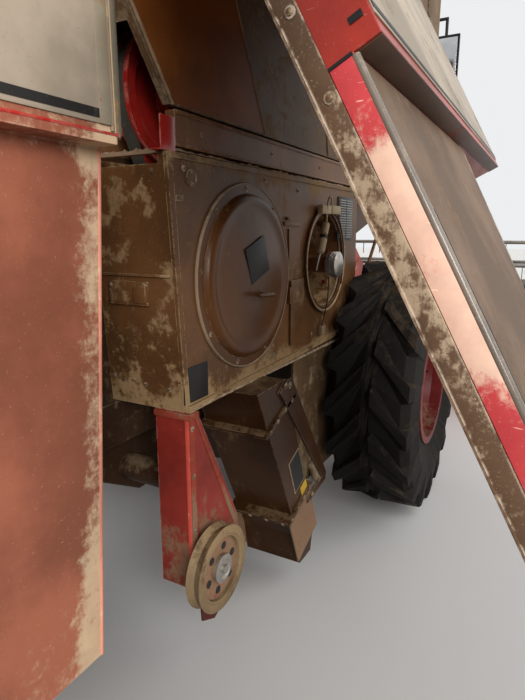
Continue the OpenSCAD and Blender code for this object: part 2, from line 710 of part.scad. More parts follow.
// Rings from the tread's middle to a bead: place across and radius between lugs, the same two on
// a lug, and 1 where the ring trails the lug's inner end
function lug_rings(r, half_tread, seat_r, half_w) = [
    [14, r - lug_h, 14, r - lug_h, 0],
    [30, r - lug_h, 22, r, 0],
    [half_tread - 60, r - lug_h - 4, half_tread - 16, r - 8, 1],
    [half_tread - 18, r - 80, half_tread - 4, r - 72, 1],
    [half_tread, seat_r + 0.5 * (r - seat_r), half_tread, seat_r + 0.5 * (r - seat_r), 1],
    [half_w, seat_r + 40, half_w, seat_r + 40, 1],
    [half_w, bead_r(seat_r), half_w, bead_r(seat_r), 1]];
// Radius of a bead's corners, so that its longest side still clears the round seat
function bead_r(seat_r) = (seat_r + eps) / cos(lug_gap / 2);
function lug_point(ring, side, k) = let (
        station = lug_stations[k % len(lug_stations)],
        stagger = side > 0 ? 0.5 : 0,
        share = floor(k / len(lug_stations)) + station[0] - lug_stations[1][0] + stagger,
        angle = 270 + share * 360 / lug_pitches + ring[4] * lug_sweep,
        at = station[1] == 1 ? [ring[2], ring[3]] : [ring[0], ring[1]])
    [at[1] * cos(angle), side * at[0], at[1] * sin(angle)];

// A tyre with chevron lugs round Y
module lugged_tyre(d, w, seat_r, half_w) {
    half = lug_rings(d / 2, w / 2, seat_r, half_w);
    last = len(half) - 1;
    rings = 2 * len(half);
    points = [for (i = [0:rings - 1], k = [0:lug_count - 1])
        i <= last ? lug_point(half[last - i], -1, k) : lug_point(half[i - last - 1], 1, k)];
    faces = [for (i = [0:rings - 1], k = [0:lug_count - 1]) let (
            a = i * lug_count + k,
            b = i * lug_count + (k + 1) % lug_count,
            c = (i + 1) % rings * lug_count + (k + 1) % lug_count,
            d = (i + 1) % rings * lug_count + k)
        each [[a, b, c], [a, c, d]]];
    polyhedron(points, faces);
}

front_seat_r = 330;
front_half_w = front_tyre_w / 2 - 40;
rear_seat_r = 203;
rear_half_w = rear_tyre_w / 2 - 25;
rib_w = (rear_tyre_w - 40) / 5;

module front_place(side) translate([0, side * front_track_y, front_z]) mirror([0, side > 0 ? 1 : 0, 0])
    children();
module rear_place(side) translate([rear_x, side * rear_track_y, rear_z])
    mirror([0, side > 0 ? 1 : 0, 0]) children();

module rim_front(side) color(paint_red) front_place(side)
    rim(front_seat_r, front_half_w, 70, 120);
module rim_rear(side) color(paint_red) rear_place(side) rim(rear_seat_r, rear_half_w, 35, 75);
module tyre_front(side) color(rubber) front_place(side)
    lugged_tyre(front_tyre_d, front_tyre_w, front_seat_r, front_half_w);
module tyre_rear(side) color(rubber) rear_place(side)
    tyre(rear_tyre_d, rear_tyre_w, rear_seat_r, rear_half_w);

module feeder_house() color(paint_red) {
    difference() {
        union() {
            bar_y(feeder_x, feeder_z, feeder_r, -feeder_y, feeder_y);
            across([[feeder_x + 137, feeder_z + 209], [header_back_x, 880], [header_back_x, 260],
                [feeder_x - 120, feeder_z - 219], [feeder_x - 100, feeder_z]],
                -feeder_y, feeder_y);
        }
        box([1700, -feeder_y + 40, 330], [header_back_x + 10, feeder_y - 40, 800]);
    }
    both_sides() {
        bar_y(feeder_x, feeder_z, 40, feeder_y, feeder_y + 60);
        box([lift_eye_x - 50, lift_y + 30, lift_eye_z - 20], [lift_eye_x + 50, lift_y + 50, 760]);
    }
}

module header_table() color(paint_red) {
    difference() {
        box([header_back_x, -header_y + 40, header_low_z], [header_back_x + 40, header_y - 40,
            header_top_z]);
        box([header_back_x - 10, -feeder_y + 40, 330], [header_back_x + 60, feeder_y - 40, 800]);
    }
    box([header_back_x + 40, -header_y + 40, 120], [3000, header_y - 40, 170]);
    both_sides() difference() {
        across([[header_back_x, header_low_z], [header_back_x, header_top_z], [2500, header_top_z],
            [3000, 520], [3700, 150], [divider_tip_x, 90], [3500, header_low_z]],
            header_y - 40, header_y);
        bar_y(auger_x, auger_z, 30 + run_gap, header_y - 50, header_y + 10);
    }
    for (y = [-1500, 1500]) difference() {
        across([[header_back_x, header_top_z], [header_back_x + 40, header_top_z],
            [reel_pivot_x + 50, reel_pivot_z + 50], [reel_pivot_x - 50, reel_pivot_z + 50]],
            y - 15, y + 15);
        bar_y(reel_pivot_x, reel_pivot_z, 35 + run_gap, y - 20, y + 20);
    }
}

module cutter_bar() color(steel) {
    box([3000, -header_y + 40, 120], [3060, header_y - 40, 150]);
    for (i = [-13:13]) translate([3060, i * 152, 120]) linear_extrude(24)
        polygon([[0, -18], [90, -4], [100, 0], [90, 4], [0, 18]]);
}

module header_auger() color(steel) {
    tube_y = header_y - 60;
    bar_y(auger_x, auger_z, 150, -tube_y, tube_y);
    bar_y(auger_x, auger_z, 30, -header_y + 5, header_y - 5);
    both_sides() translate([auger_x, 520, auger_z]) rotate([-90, 0, 0])
        linear_extrude(tube_y - 520, twist = 360 * 3, slices = 48, $fn = 6)
            translate([140, -20]) square([auger_r - 140, 40]);
}

module reel_arms() color(paint_red) {
    bar_y(reel_pivot_x, reel_pivot_z, 35, -header_y, header_y);
    both_sides() difference() {
        across([[reel_pivot_x - 45, reel_pivot_z - 45], [reel_pivot_x + 45, reel_pivot_z - 45],
            [reel_x + 60, reel_z - 50], [reel_x + 60, reel_z + 50],
            [reel_pivot_x - 45, reel_pivot_z + 45]], header_y - 40, header_y);
        bar_y(reel_pivot_x, reel_pivot_z, 35, header_y - 50, header_y + 10);
        bar_y(reel_x, reel_z, 20 + run_gap, header_y - 50, header_y + 10);
    }
}

module reel() color(steel) {
    reel_y = header_y - 90;
    bar_y(reel_x, reel_z, 60, -reel_y, reel_y);
    bar_y(reel_x, reel_z, 20, -header_y + 5, header_y - 5);
    for (y = [-0.96, -0.33, 0.33, 0.96]) for (i = [0:5])
        translate([reel_x, y * reel_y, reel_z]) rotate([0, i * 60 + 30, 0])
            box([40, -6, -14], [reel_r - 5, 6, 14]);
    for (i = [0:5]) translate([reel_r * cos(i * 60 + 30), 0, reel_r * sin(i * 60 + 30)]) {
        bar_y(reel_x, reel_z, 18, -reel_y + 10, reel_y - 10);
        for (j = [-10:10]) translate([reel_x, j * 190, reel_z - tine_l])
            box([-4, -4, 0], [4, 4, tine_l - 5]);
    }
}

module lift_place() translate([lift_x, 0, lift_z]) rotate([0, -lift_angle, 0]) children();

module lift_barrels() color(paint_red) for (side = [-1, 1]) translate([0, side * lift_y, 0])
    lift_place() difference() {
        union() {
            rotate([0, 90, 0]) cylinder(r = 45, h = 800);
            bar_y(0, 0, 45, -25, 25);
            bar_y(0, 0, 20, -74, 74);
        }
        translate([60, 0, 0]) rotate([0, 90, 0]) cylinder(r = 25 + run_gap, h = 800);
    }

module lift_rods() color(steel) for (side = [-1, 1]) translate([0, side * lift_y, 0])
    lift_place() {
        translate([150, 0, 0]) rotate([0, 90, 0]) cylinder(r = 25, h = lift_l - 150);
        bar_y(lift_l, 0, 40, -22, 22);
    }

module placed() translate([place_x, 0, 0]) children();

placed() chassis();
placed() front_axle();
placed() rear_axle();
placed() threshing_body();
placed() straw_hood();
placed() straw_walkers();
placed() cleaning_shoe();
placed() right_housing();
placed() side_plate();
placed() drum_cover();
placed() belt_tensioner();
placed() returns_leg();
placed() grain_elevator();
placed() foot_pulley();
placed() grain_tank();
placed() tank_sills();
placed() drive_pulley();
placed() left_drives();
placed() engine_block();
placed() engine_cover();
placed() cab_shell();
placed() cab_glass();
placed() cab_roof();
placed() cab_door();
placed() driver_station();
placed() cab_platform();
placed() handrail();
placed() mirrors();
placed() exhaust();
placed() engine_screen();
placed() lamps();
placed() rear_panel_right();
placed() rear_panel_left();
placed() right_door();
placed() left_door();
placed() straw_deflector();
placed() unloading_auger();
placed() knuckle_right();
placed() knuckle_left();
placed() tie_rod();
placed() rim_front(-1);  // rim_front_right
placed() rim_front(1);  // rim_front_left
placed() rim_rear(-1);  // rim_rear_right
placed() rim_rear(1);  // rim_rear_left
placed() tyre_front(-1);  // tyre_front_right
placed() tyre_front(1);  // tyre_front_left
placed() tyre_rear(-1);  // tyre_rear_right
placed() tyre_rear(1);  // tyre_rear_left
placed() feeder_house();
placed() header_table();
placed() cutter_bar();
placed() header_auger();
placed() reel_arms();
placed() reel();
placed() lift_barrels();
placed() lift_rods();
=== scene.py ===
# %% [markdown]
# A combine harvester, dressed over its construction model. The camera stands at the right flank
# behind the propped side door, as the photograph was taken, and looks forward along the drives.

# %% The frame and the tools
import math
from functools import partial

import bmesh
import bpy
from mathutils import Matrix, Vector


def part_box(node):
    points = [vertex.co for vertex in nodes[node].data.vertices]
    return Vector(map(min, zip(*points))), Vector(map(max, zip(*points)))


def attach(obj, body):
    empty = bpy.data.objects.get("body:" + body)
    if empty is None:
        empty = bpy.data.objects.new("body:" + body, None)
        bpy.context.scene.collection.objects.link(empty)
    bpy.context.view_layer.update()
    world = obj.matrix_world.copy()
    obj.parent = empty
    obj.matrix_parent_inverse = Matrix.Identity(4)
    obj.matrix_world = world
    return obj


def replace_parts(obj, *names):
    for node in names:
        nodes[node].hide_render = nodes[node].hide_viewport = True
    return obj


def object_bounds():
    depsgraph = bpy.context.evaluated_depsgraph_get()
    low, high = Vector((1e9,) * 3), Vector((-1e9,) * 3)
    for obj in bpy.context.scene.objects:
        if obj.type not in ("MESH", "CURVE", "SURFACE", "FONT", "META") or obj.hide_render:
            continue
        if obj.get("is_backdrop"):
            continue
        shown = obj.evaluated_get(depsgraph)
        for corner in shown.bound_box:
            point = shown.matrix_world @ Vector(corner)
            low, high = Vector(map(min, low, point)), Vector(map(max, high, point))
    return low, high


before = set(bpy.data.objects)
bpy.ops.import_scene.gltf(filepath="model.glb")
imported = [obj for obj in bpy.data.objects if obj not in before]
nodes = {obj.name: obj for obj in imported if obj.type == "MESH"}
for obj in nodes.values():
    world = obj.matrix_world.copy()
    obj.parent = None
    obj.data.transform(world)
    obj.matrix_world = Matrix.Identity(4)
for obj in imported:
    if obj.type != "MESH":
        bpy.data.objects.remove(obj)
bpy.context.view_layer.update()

# %% [markdown]
# The camera comes first, because every later choice is judged through it. A phone was held at
# eye height, turned towards the machine's middle line and tipped down a little.

# %% The camera
FOCAL_PX, LONG_SIDE_PX, SENSOR = 530.0, 700.0, 36.0
EYE = (-3.15, -1.96, 1.60)
TURN_LEFT, TIP_DOWN = math.radians(28.4), math.radians(12.4)
AXLE_X = (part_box("tyre_front_right")[0].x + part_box("tyre_front_right")[1].x) / 2


def at(x, y, z):
    """A place measured from the front axle on the ground, in the frame of the whole machine."""
    return Vector((AXLE_X + x, y, z))


def add_camera():
    data = bpy.data.cameras.new("view")
    data.sensor_width = SENSOR
    data.lens = FOCAL_PX / LONG_SIDE_PX * SENSOR
    data.clip_start = 0.02
    camera = bpy.data.objects.new("view", data)
    bpy.context.collection.objects.link(camera)
    camera.location = at(*EYE)
    camera.rotation_euler = (math.pi / 2 - TIP_DOWN, 0, TURN_LEFT - math.pi / 2)
    bpy.context.scene.camera = camera
    return camera


print("camera at", tuple(add_camera().location))

# %% [markdown]
# A finish is a small network of nodes. Noise that reads the object's own coordinates gives broad
# dust, fine specks and streaks that run down. A Bevel node finds edges, where paint wears first.
# The helpers below add one node each, so that a finish reads as a short recipe.


# %% Node helpers
def feed(tree, socket, value):
    if isinstance(value, bpy.types.NodeSocket):
        tree.links.new(value, socket)
    elif isinstance(value, tuple):
        socket.default_value = (*value, 1)
    else:
        socket.default_value = value


def noise(tree, scale, detail=4.0, rough=0.6, stretch=(1, 1, 1)):
    mapping = tree.nodes.new("ShaderNodeMapping")
    mapping.inputs["Scale"].default_value = stretch
    tree.links.new(tree.nodes.new("ShaderNodeTexCoord").outputs["Object"], mapping.inputs["Vector"])
    node = tree.nodes.new("ShaderNodeTexNoise")
    node.inputs["Scale"].default_value = scale
    node.inputs["Detail"].default_value = detail
    node.inputs["Roughness"].default_value = rough
    tree.links.new(mapping.outputs["Vector"], node.inputs["Vector"])
    return node.outputs["Fac"]


def share(tree, value, low, high):
    """0 where the value is at low, 1 where it is at high, and smooth between."""
    node = tree.nodes.new("ShaderNodeMapRange")
    node.interpolation_type = "SMOOTHSTEP"
    feed(tree, node.inputs["Value"], value)
    node.inputs["From Min"].default_value = low
    node.inputs["From Max"].default_value = high
    return node.outputs["Result"]


def calc(kind, tree, a, b):
    node = tree.nodes.new("ShaderNodeMath")
    node.operation = kind
    feed(tree, node.inputs[0], a)
    feed(tree, node.inputs[1], b)
    return node.outputs["Value"]


plus, minus = partial(calc, "ADD"), partial(calc, "SUBTRACT")
times, larger = partial(calc, "MULTIPLY"), partial(calc, "MAXIMUM")


def blend(tree, part, a, b):
    node = tree.nodes.new("ShaderNodeMix")
    node.data_type = "RGBA"
    feed(tree, node.inputs[0], part)
    feed(tree, node.inputs[6], a)
    feed(tree, node.inputs[7], b)
    return node.outputs[2]


def axes_of(tree, source):
    split = tree.nodes.new("ShaderNodeSeparateXYZ")
    tree.links.new(source, split.inputs["Vector"])
    return split.outputs


def place_axes(tree):
    """The three coordinates of a point of the object."""
    return axes_of(tree, tree.nodes.new("ShaderNodeTexCoord").outputs["Object"])


def edges(tree, radius):
    """1 along an edge of the solid and 0 on its faces."""
    bevel = tree.nodes.new("ShaderNodeBevel")
    bevel.samples = 4
    bevel.inputs["Radius"].default_value = radius
    dot = tree.nodes.new("ShaderNodeVectorMath")
    dot.operation = "DOT_PRODUCT"
    tree.links.new(bevel.outputs["Normal"], dot.inputs[0])
    tree.links.new(tree.nodes.new("ShaderNodeNewGeometry").outputs["Normal"], dot.inputs[1])
    return share(tree, dot.outputs["Value"], 0.97, 0.8)


def tinted(colour, factor):
    return tuple(c * factor for c in colour)


# %% [markdown]
# The floor is one large grid, and it is marked as stage. Light comes from a pale world, from three
# wide soft suns that light floor and machine evenly from both sides, and from one large lamp behind
# the viewer, which spares the floor so that no bright pool shows there. What the camera or a shiny
# surface sees of the room is paler than what lights the machine, so the background stays plain and
# the underside isn't flooded.

# %% Floor and light
bpy.context.scene.view_settings.view_transform = "Standard"
FLOOR_SIZE = 60
FLOOR_BOUNCE, FLOOR_SEEN = (0.34, 0.31, 0.28), (0.84, 0.83, 0.81)
SKY_LIGHT, SKY_SEEN = (0.54, 0.535, 0.53), (0.85, 0.86, 0.87)


def seen(tree):
    """1 for what the camera, gloss or glass shows, and 0 for light that falls on the machine."""
    path = tree.nodes.new("ShaderNodeLightPath").outputs
    shiny = larger(tree, path["Is Glossy Ray"], path["Is Transmission Ray"])
    return larger(tree, path["Is Camera Ray"], shiny)


def new_material(name):
    material = bpy.data.materials.new(name)
    material.use_nodes = True
    return material, material.node_tree, material.node_tree.nodes["Principled BSDF"]


def add_floor():
    mesh = bmesh.new()
    bmesh.ops.create_grid(mesh, x_segments=1, y_segments=1, size=FLOOR_SIZE)
    floor = bpy.data.objects.new("floor", bpy.data.meshes.new("floor"))
    mesh.to_mesh(floor.data)
    mesh.free()
    bpy.context.collection.objects.link(floor)
    material, tree, shader = new_material("floor_pale")
    tree.links.new(blend(tree, seen(tree), FLOOR_BOUNCE, FLOOR_SEEN), shader.inputs["Base Color"])
    shader.inputs["Roughness"].default_value = 0.9
    shader.inputs["Specular IOR Level"].default_value = 0.1
    floor.data.materials.append(material)
    floor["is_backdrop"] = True
    return floor


def add_world():
    world = bpy.data.worlds.new("studio")
    bpy.context.scene.world = world
    world.use_nodes = True
    tree = world.node_tree
    tree.links.new(blend(tree, seen(tree), SKY_LIGHT, SKY_SEEN),
                   tree.nodes["Background"].inputs["Color"])


def add_lamp(name, kind, place, aim, power, size):
    """A lamp of a size in metres, or a sun of a width in degrees."""
    data = bpy.data.lights.new(name, kind)
    data.energy = power
    if kind == "SUN":
        data.angle = math.radians(size)
    else:
        data.size = size
    lamp = bpy.data.objects.new(name, data)
    lamp.location = at(*place)
    lamp.rotation_euler = (at(*aim) - lamp.location).to_track_quat("-Z", "Y").to_euler()
    bpy.context.collection.objects.link(lamp)
    return lamp


def spare(lamp, thing):
    """Keeps a lamp's light off one thing."""
    group = bpy.data.collections.new("not lit by the key")
    group.objects.link(thing)
    group.collection_objects[0].light_linking.link_state = "EXCLUDE"
    lamp.light_linking.receiver_collection = group


floor = add_floor()
add_world()
spare(add_lamp("key", "AREA", (-6.1, -5.2, 3.3), (-1.6, -1.0, 1.2), 230, 2.2), floor)
add_lamp("rear_sun", "SUN", (-6.1, -5.2, 4.2), (-1.6, -1.0, 1.2), 0.9, 40)
add_lamp("right_sun", "SUN", (1.5, -8.0, 6.0), (-0.5, -1.0, 1.2), 0.7, 50)
add_lamp("left_sun", "SUN", (3.0, 8.0, 6.0), (-0.5, 1.0, 1.2), 1.0, 50)
print("floor and lamps made")

# %% [markdown]
# Worn paint is the machine's main finish. Enamel that varies a little in tone lies under dust,
# which gathers on faces that look up and runs down the sides, with rust spots, and bare or dusty
# edges. Each paint of the machine is one call, with its own colours and its own amount of dirt.

# %% Worn paint
# How fine each layer of the noise is, from broad tone to grit, and how the noise is stretched
TONE, RUST_SPOTS, SCRATCHES, CHIPS, CRUMBS, RUST_GRAIN, SPECKS, GRIT = 2.3, 9, 24, 26, 52, 60, 190, 420
RUNS_DOWN, RUNS_LEVEL = (1, 1, 0.07), (1, 1, 9)
RUST_DARK, RUST_LIGHT = (0.12, 0.035, 0.012), (0.38, 0.13, 0.035)
EDGE_WEAR = 0.006


def worn_paint(name, paint, dust, dusty=0.4, gloss=0.35, grain=5.0, rust=0.0, chip=None,
               metal=0.0, coat=0.0, more_dust=None, shine=0.18, slot="brown_paint"):
    material, tree, shader = new_material(name)
    tone = blend(tree, share(tree, noise(tree, TONE, 5.0), 0.38, 0.62), tinted(paint, 0.70),
                 tinted(paint, 1.22))
    layer = noise(tree, grain, 9.0, 0.66)
    layer = plus(tree, layer, times(tree, minus(tree, noise(tree, CRUMBS, 8.0, 0.74), 0.5), 0.55))
    layer = plus(tree, layer, times(tree, noise(tree, grain * 5, 4.0, 0.55, RUNS_DOWN), 0.22))
    normal = axes_of(tree, tree.nodes.new("ShaderNodeNewGeometry").outputs["Normal"])
    layer = plus(tree, layer, times(tree, larger(tree, normal["Z"], 0.0), 0.17))
    # A mask by place adds more dust, and on the side door's edge a painted highlight drawn in the dust
    # colour
    if more_dust:
        layer = plus(tree, layer, more_dust(tree))
    start = 0.83 - 0.34 * dusty
    cover = share(tree, layer, start, start + 0.2)
    speck = share(tree, noise(tree, SPECKS, 4.0, 0.7), 0.62 - 0.1 * dusty, 0.76)
    dirt_and_highlight = larger(tree, times(tree, cover, 0.88), times(tree, speck, 0.35 + 0.4 * dusty))
    dust_and_highlight_tone = blend(tree, noise(tree, grain * 9, 6.0), tinted(dust, 0.7), tinted(dust, 1.2))
    colour = blend(tree, dirt_and_highlight, tone, dust_and_highlight_tone)
    if rust:
        spots = share(tree, noise(tree, RUST_SPOTS, 8.0, 0.7), 0.74 - 0.2 * rust, 0.80 - 0.2 * rust)
        rust_tone = blend(tree, noise(tree, RUST_GRAIN, 4.0), RUST_DARK, RUST_LIGHT)
        colour = blend(tree, spots, colour, rust_tone)
    if chip:
        flaked = share(tree, noise(tree, CHIPS, 6.0, 0.7), 0.42, 0.56)
        bare = times(tree, edges(tree, EDGE_WEAR), flaked)
        colour = blend(tree, bare, colour, chip)
    tree.links.new(plus(tree, times(tree, dirt_and_highlight, 0.85 - gloss), gloss), shader.inputs["Roughness"])
    shader.inputs["Metallic"].default_value = metal
    shader.inputs["Coat Weight"].default_value = coat
    shader.inputs["Specular IOR Level"].default_value = shine
    scratch = share(tree, noise(tree, SCRATCHES, 3.0, 0.6, RUNS_LEVEL), 0.71, 0.74)
    colour = blend(tree, times(tree, scratch, 0.35), colour, tuple(c * 1.5 + 0.05 for c in dust))
    tree.links.new(colour, shader.inputs["Base Color"])
    bump = tree.nodes.new("ShaderNodeBump")
    bump.inputs["Strength"].default_value = 0.35
    bump.inputs["Distance"].default_value = 0.0015
    tree.links.new(plus(tree, dirt_and_highlight, times(tree, noise(tree, GRIT, 2.0), 0.3)), bump.inputs["Height"])
    tree.links.new(bump.outputs["Normal"], shader.inputs["Normal"])
    return material


# %% [markdown]
# The dust isn't even. The rear wall of the housing, the front edge of the rear panel and the lower
# part of each side carry more, so a mask by place is added to the noise for those paints.

# %% Masks by place
SIDE_Y = -0.960


def under(place, soft, amount):
    """More dust on what lies lower than a height."""
    def mask(tree):
        return times(tree, share(tree, place_axes(tree)["Z"], place + soft, place), amount)
    return mask


def panel_front_edge(tree):
    """Pale dust along the slanting front edge of a rear panel."""
    axes = place_axes(tree)
    line = minus(tree, axes["X"], times(tree, axes["Z"], 0.083))
    ragged = times(tree, noise(tree, 16.0, 9.0, 0.8), 0.10)
    edge = share(tree, plus(tree, line, ragged), AXLE_X - 2.615, AXLE_X - 2.545)
    top = times(tree, share(tree, axes["Z"], 1.68, 1.74), 0.22)
    low = times(tree, share(tree, axes["Z"], 0.95, 0.78), 0.10)
    return plus(tree, times(tree, edge, 0.30), plus(tree, top, low))


def housing_dust(tree):
    """Patches on the rear wall, and an even coat at the top and the foot."""
    axes = place_axes(tree)
    patch = times(tree, share(tree, noise(tree, 8.0, 6.0, 0.6), 0.46, 0.60), 0.20)
    rear = times(tree, share(tree, axes["Y"], SIDE_Y + 0.003, SIDE_Y + 0.012), patch)
    top = times(tree, share(tree, axes["Z"], 1.74, 1.83), 0.12)
    return plus(tree, plus(tree, rear, under(1.03, 0.12, 0.26)(tree)), top)


# %% [markdown]
# Five families of paint cover the machine: red enamel, brown enamel, white bands, black trim with
# rubber, and bare or plated metal. All follow the one recipe, so every piece ages in the same way,
# and only the colours, the share of dust and the gloss differ from paint to paint.

# %% The machine's paints
in_red, in_white = partial(worn_paint, slot="red_paint"), partial(worn_paint, slot="white_paint")
in_black, in_steel = partial(worn_paint, slot="black_trim"), partial(worn_paint, slot="bare_steel")
red = in_red("red_enamel", (0.34, 0.026, 0.015), (0.30, 0.15, 0.09), 0.35, 0.36, 4.0, 0.15,
             (0.34, 0.20, 0.13), coat=0.1, shine=0.3)
panel_red = in_red("panel_red_dusty", (0.290, 0.096, 0.055), (0.60, 0.44, 0.28), 0.20, 0.45, 2.2, 0.08,
                   (0.62, 0.34, 0.24), more_dust=panel_front_edge)
bright_red = in_red("bright_red", (0.42, 0.020, 0.014), (0.36, 0.26, 0.17), 0.2, 0.28, 9.0, 0.2,
                    (0.62, 0.34, 0.26), coat=0.3, shine=0.4)
pink_edge = in_red("sun_bleached_red", (0.62, 0.24, 0.16), (0.74, 0.50, 0.36), 0.5, 0.45, 12.0)
# The rims' red is darker than the enamel as painted shade
rim_red_painted_shade = in_red("wheel_red", (0.125, 0.011, 0.010), (0.16, 0.085, 0.05), 0.40, 0.42, 7.0, 0.1,
                 (0.25, 0.14, 0.09))
brown = worn_paint("brown_enamel", (0.048, 0.019, 0.007), (0.20, 0.125, 0.062), 0.36, 0.32, 5.0, 0.05,
                   (0.33, 0.23, 0.15), coat=0.03, shine=0.12)
housing_brown = worn_paint("housing_brown", (0.135, 0.060, 0.022), (0.36, 0.235, 0.115), 0.52, 0.38,
                           5.0, 0.04, (0.46, 0.33, 0.19), more_dust=housing_dust)
cover_brown = worn_paint("cover_brown", (0.104, 0.040, 0.012), (0.28, 0.165, 0.078), 0.28, 0.30,
                         7.0, 0.0, (0.34, 0.23, 0.13), coat=0.02, shine=0.17)
# The tank's two browns and the sill's brown are paler than their enamel, as painted light that lifts
# the shade under the door and the tank
tank_brown_painted_light = worn_paint("tank_brown_dusty_painted_light", (0.125, 0.072, 0.036), (0.31, 0.23, 0.135), 0.66, 0.5,
                        10.0, 0.05, (0.40, 0.30, 0.19))
clean_brown_painted_light = worn_paint("tank_brown_clean_painted_light", (0.230, 0.073, 0.015), (0.34, 0.22, 0.11), 0.08, 0.40,
                         9.0, 0.0, (0.42, 0.31, 0.20), shine=0.1)
sill_brown_painted_light = worn_paint("sill_brown_painted_light", (0.200, 0.092, 0.038), (0.36, 0.24, 0.13), 0.45, 0.4, 9.0, 0.03,
                        (0.42, 0.31, 0.20))
frame_brown = worn_paint("frame_brown", (0.046, 0.022, 0.011), (0.17, 0.112, 0.062), 0.55, 0.45,
                         8.0, 0.2, (0.25, 0.17, 0.11))
beige = in_white("beige_band", (0.30, 0.255, 0.185), (0.30, 0.19, 0.085), 0.48, 0.4, 6.0, 0.62,
                 (0.26, 0.20, 0.14))
white = in_white("white_enamel", (0.40, 0.33, 0.25), (0.27, 0.195, 0.125), 0.34, 0.42, 7.0, 0.12,
                 (0.30, 0.26, 0.20))
cream = in_white("cream_parts", (0.36, 0.27, 0.165), (0.18, 0.11, 0.055), 0.55, 0.5, 14.0, 0.2,
                 (0.26, 0.18, 0.10))
yellow = in_white("yellow_patch", (0.56, 0.36, 0.04), (0.24, 0.16, 0.08), 0.55, 0.5, 16.0)
black = in_black("black_trim", (0.020, 0.019, 0.018), (0.12, 0.09, 0.06), 0.26, 0.45, 9.0)
louvre = in_black("louvre_grey", (0.026, 0.026, 0.027), (0.12, 0.09, 0.06), 0.35, 0.4, 9.0)
rubber = in_black("tyre_rubber", (0.0125, 0.011, 0.0095), (0.055, 0.038, 0.024), 0.42, 0.7, 7.0,
                  0.0, (0.05, 0.038, 0.028), shine=0.1)
belt_grey = in_black("belt_canvas", (0.060, 0.058, 0.046), (0.20, 0.16, 0.10), 0.45, 0.75, 20.0)
hose = in_black("hose_rubber", (0.016, 0.016, 0.016), (0.10, 0.075, 0.05), 0.3, 0.5, 22.0)
steel = in_steel("worn_steel", (0.30, 0.28, 0.25), (0.22, 0.14, 0.08), 0.42, 0.34, 9.0, 0.35,
                 (0.55, 0.52, 0.48), metal=0.7)
screw_brown = in_steel("screw_brown", (0.16, 0.095, 0.05), (0.34, 0.23, 0.13), 0.5, 0.4, 40.0, 0.2,
                       (0.50, 0.42, 0.32), metal=0.3)
rust_brown = in_steel("rusty_rod", (0.16, 0.065, 0.028), (0.30, 0.19, 0.11), 0.4, 0.6, 18.0, 0.7)
cast_grey = worn_paint("engine_grey", (0.10, 0.10, 0.10), (0.10, 0.07, 0.045), 0.55, 0.5, 12.0, 0.2,
                       (0.22, 0.20, 0.18), slot="cast_grey")
chrome = worn_paint("chromed_rod", (0.66, 0.66, 0.67), (0.25, 0.19, 0.13), 0.10, 0.10, 20.0,
                    metal=1.0, shine=0.5, slot="chrome_rod")
print("paints", len(bpy.data.materials))

# %% [markdown]
# Glass and lamp lenses are clear shells. A little dust on the roughness keeps the cab's windows
# from looking new. The screen of the radiator is a black sheet with a fine punched pattern.


# %% Glass and lenses
def clear(name, colour, rough, through):
    material, tree, shader = new_material(name)
    film = share(tree, noise(tree, 3.0, 8.0, 0.7), 0.35, 0.75)
    tree.links.new(blend(tree, film, colour, tinted(colour, 0.6)), shader.inputs["Base Color"])
    tree.links.new(plus(tree, times(tree, film, 0.25), rough), shader.inputs["Roughness"])
    shader.inputs["IOR"].default_value = 1.45
    shader.inputs["Transmission Weight"].default_value = through
    return material


glass = clear("cab_glazing", (0.72, 0.80, 0.80), 0.04, 0.92)
lens = clear("lamp_lens", (0.85, 0.83, 0.76), 0.12, 0.55)
amber = clear("amber_lens", (0.85, 0.30, 0.03), 0.15, 0.35)
red_lens = clear("red_lens", (0.60, 0.03, 0.02), 0.15, 0.35)


def screen_mesh(name, holes_a_metre=85):
    material, tree, shader = new_material(name)
    cells = tree.nodes.new("ShaderNodeTexVoronoi")
    cells.inputs["Scale"].default_value = holes_a_metre
    cells.inputs["Randomness"].default_value = 0.0
    tree.links.new(tree.nodes.new("ShaderNodeTexCoord").outputs["Object"], cells.inputs["Vector"])
    holes = share(tree, cells.outputs["Distance"], 0.42, 0.34)
    dust = share(tree, noise(tree, 6.0, 8.0), 0.45, 0.65)
    sheet = blend(tree, dust, (0.035, 0.034, 0.032), (0.16, 0.12, 0.08))
    tree.links.new(blend(tree, holes, sheet, (0.004, 0.004, 0.004)), shader.inputs["Base Color"])
    shader.inputs["Roughness"].default_value = 0.6
    return material


screen = screen_mesh("screen_sheet")

# %% [markdown]
# Every node of the construction model keeps its shape and gets one of the finishes. Sheet and
# plate never have knife edges, so a Weld and a Bevel modifier round the edges of the larger nodes.

# %% Finishes of the construction model
FINISH = [
    (frame_brown, "chassis front_axle rear_axle threshing_body cleaning_shoe cab_platform handrail "
                  "knuckle_right knuckle_left lift_barrels"),
    (red, "straw_hood left_drives engine_cover cab_shell right_door left_door straw_deflector "
          "unloading_auger feeder_house header_table reel_arms"),
    (steel, "straw_walkers tie_rod cutter_bar header_auger reel"),
    (rim_red_painted_shade, "rim_front_right rim_front_left rim_rear_right rim_rear_left"),
    (rubber, "tyre_front_right tyre_front_left tyre_rear_right tyre_rear_left"),
    (tank_brown_painted_light, "side_plate grain_tank"), (cover_brown, "drum_cover belt_tensioner"),
    (panel_red, "rear_panel_right rear_panel_left"), (black, "driver_station mirrors lamps"),
    (housing_brown, "right_housing"), (bright_red, "drive_pulley returns_leg"),
    (brown, "grain_elevator"), (sill_brown_painted_light, "tank_sills"), (cast_grey, "engine_block"),
    (glass, "cab_glass"), (white, "cab_roof"), (rust_brown, "exhaust"), (screen, "engine_screen"),
    (chrome, "lift_rods"),
]
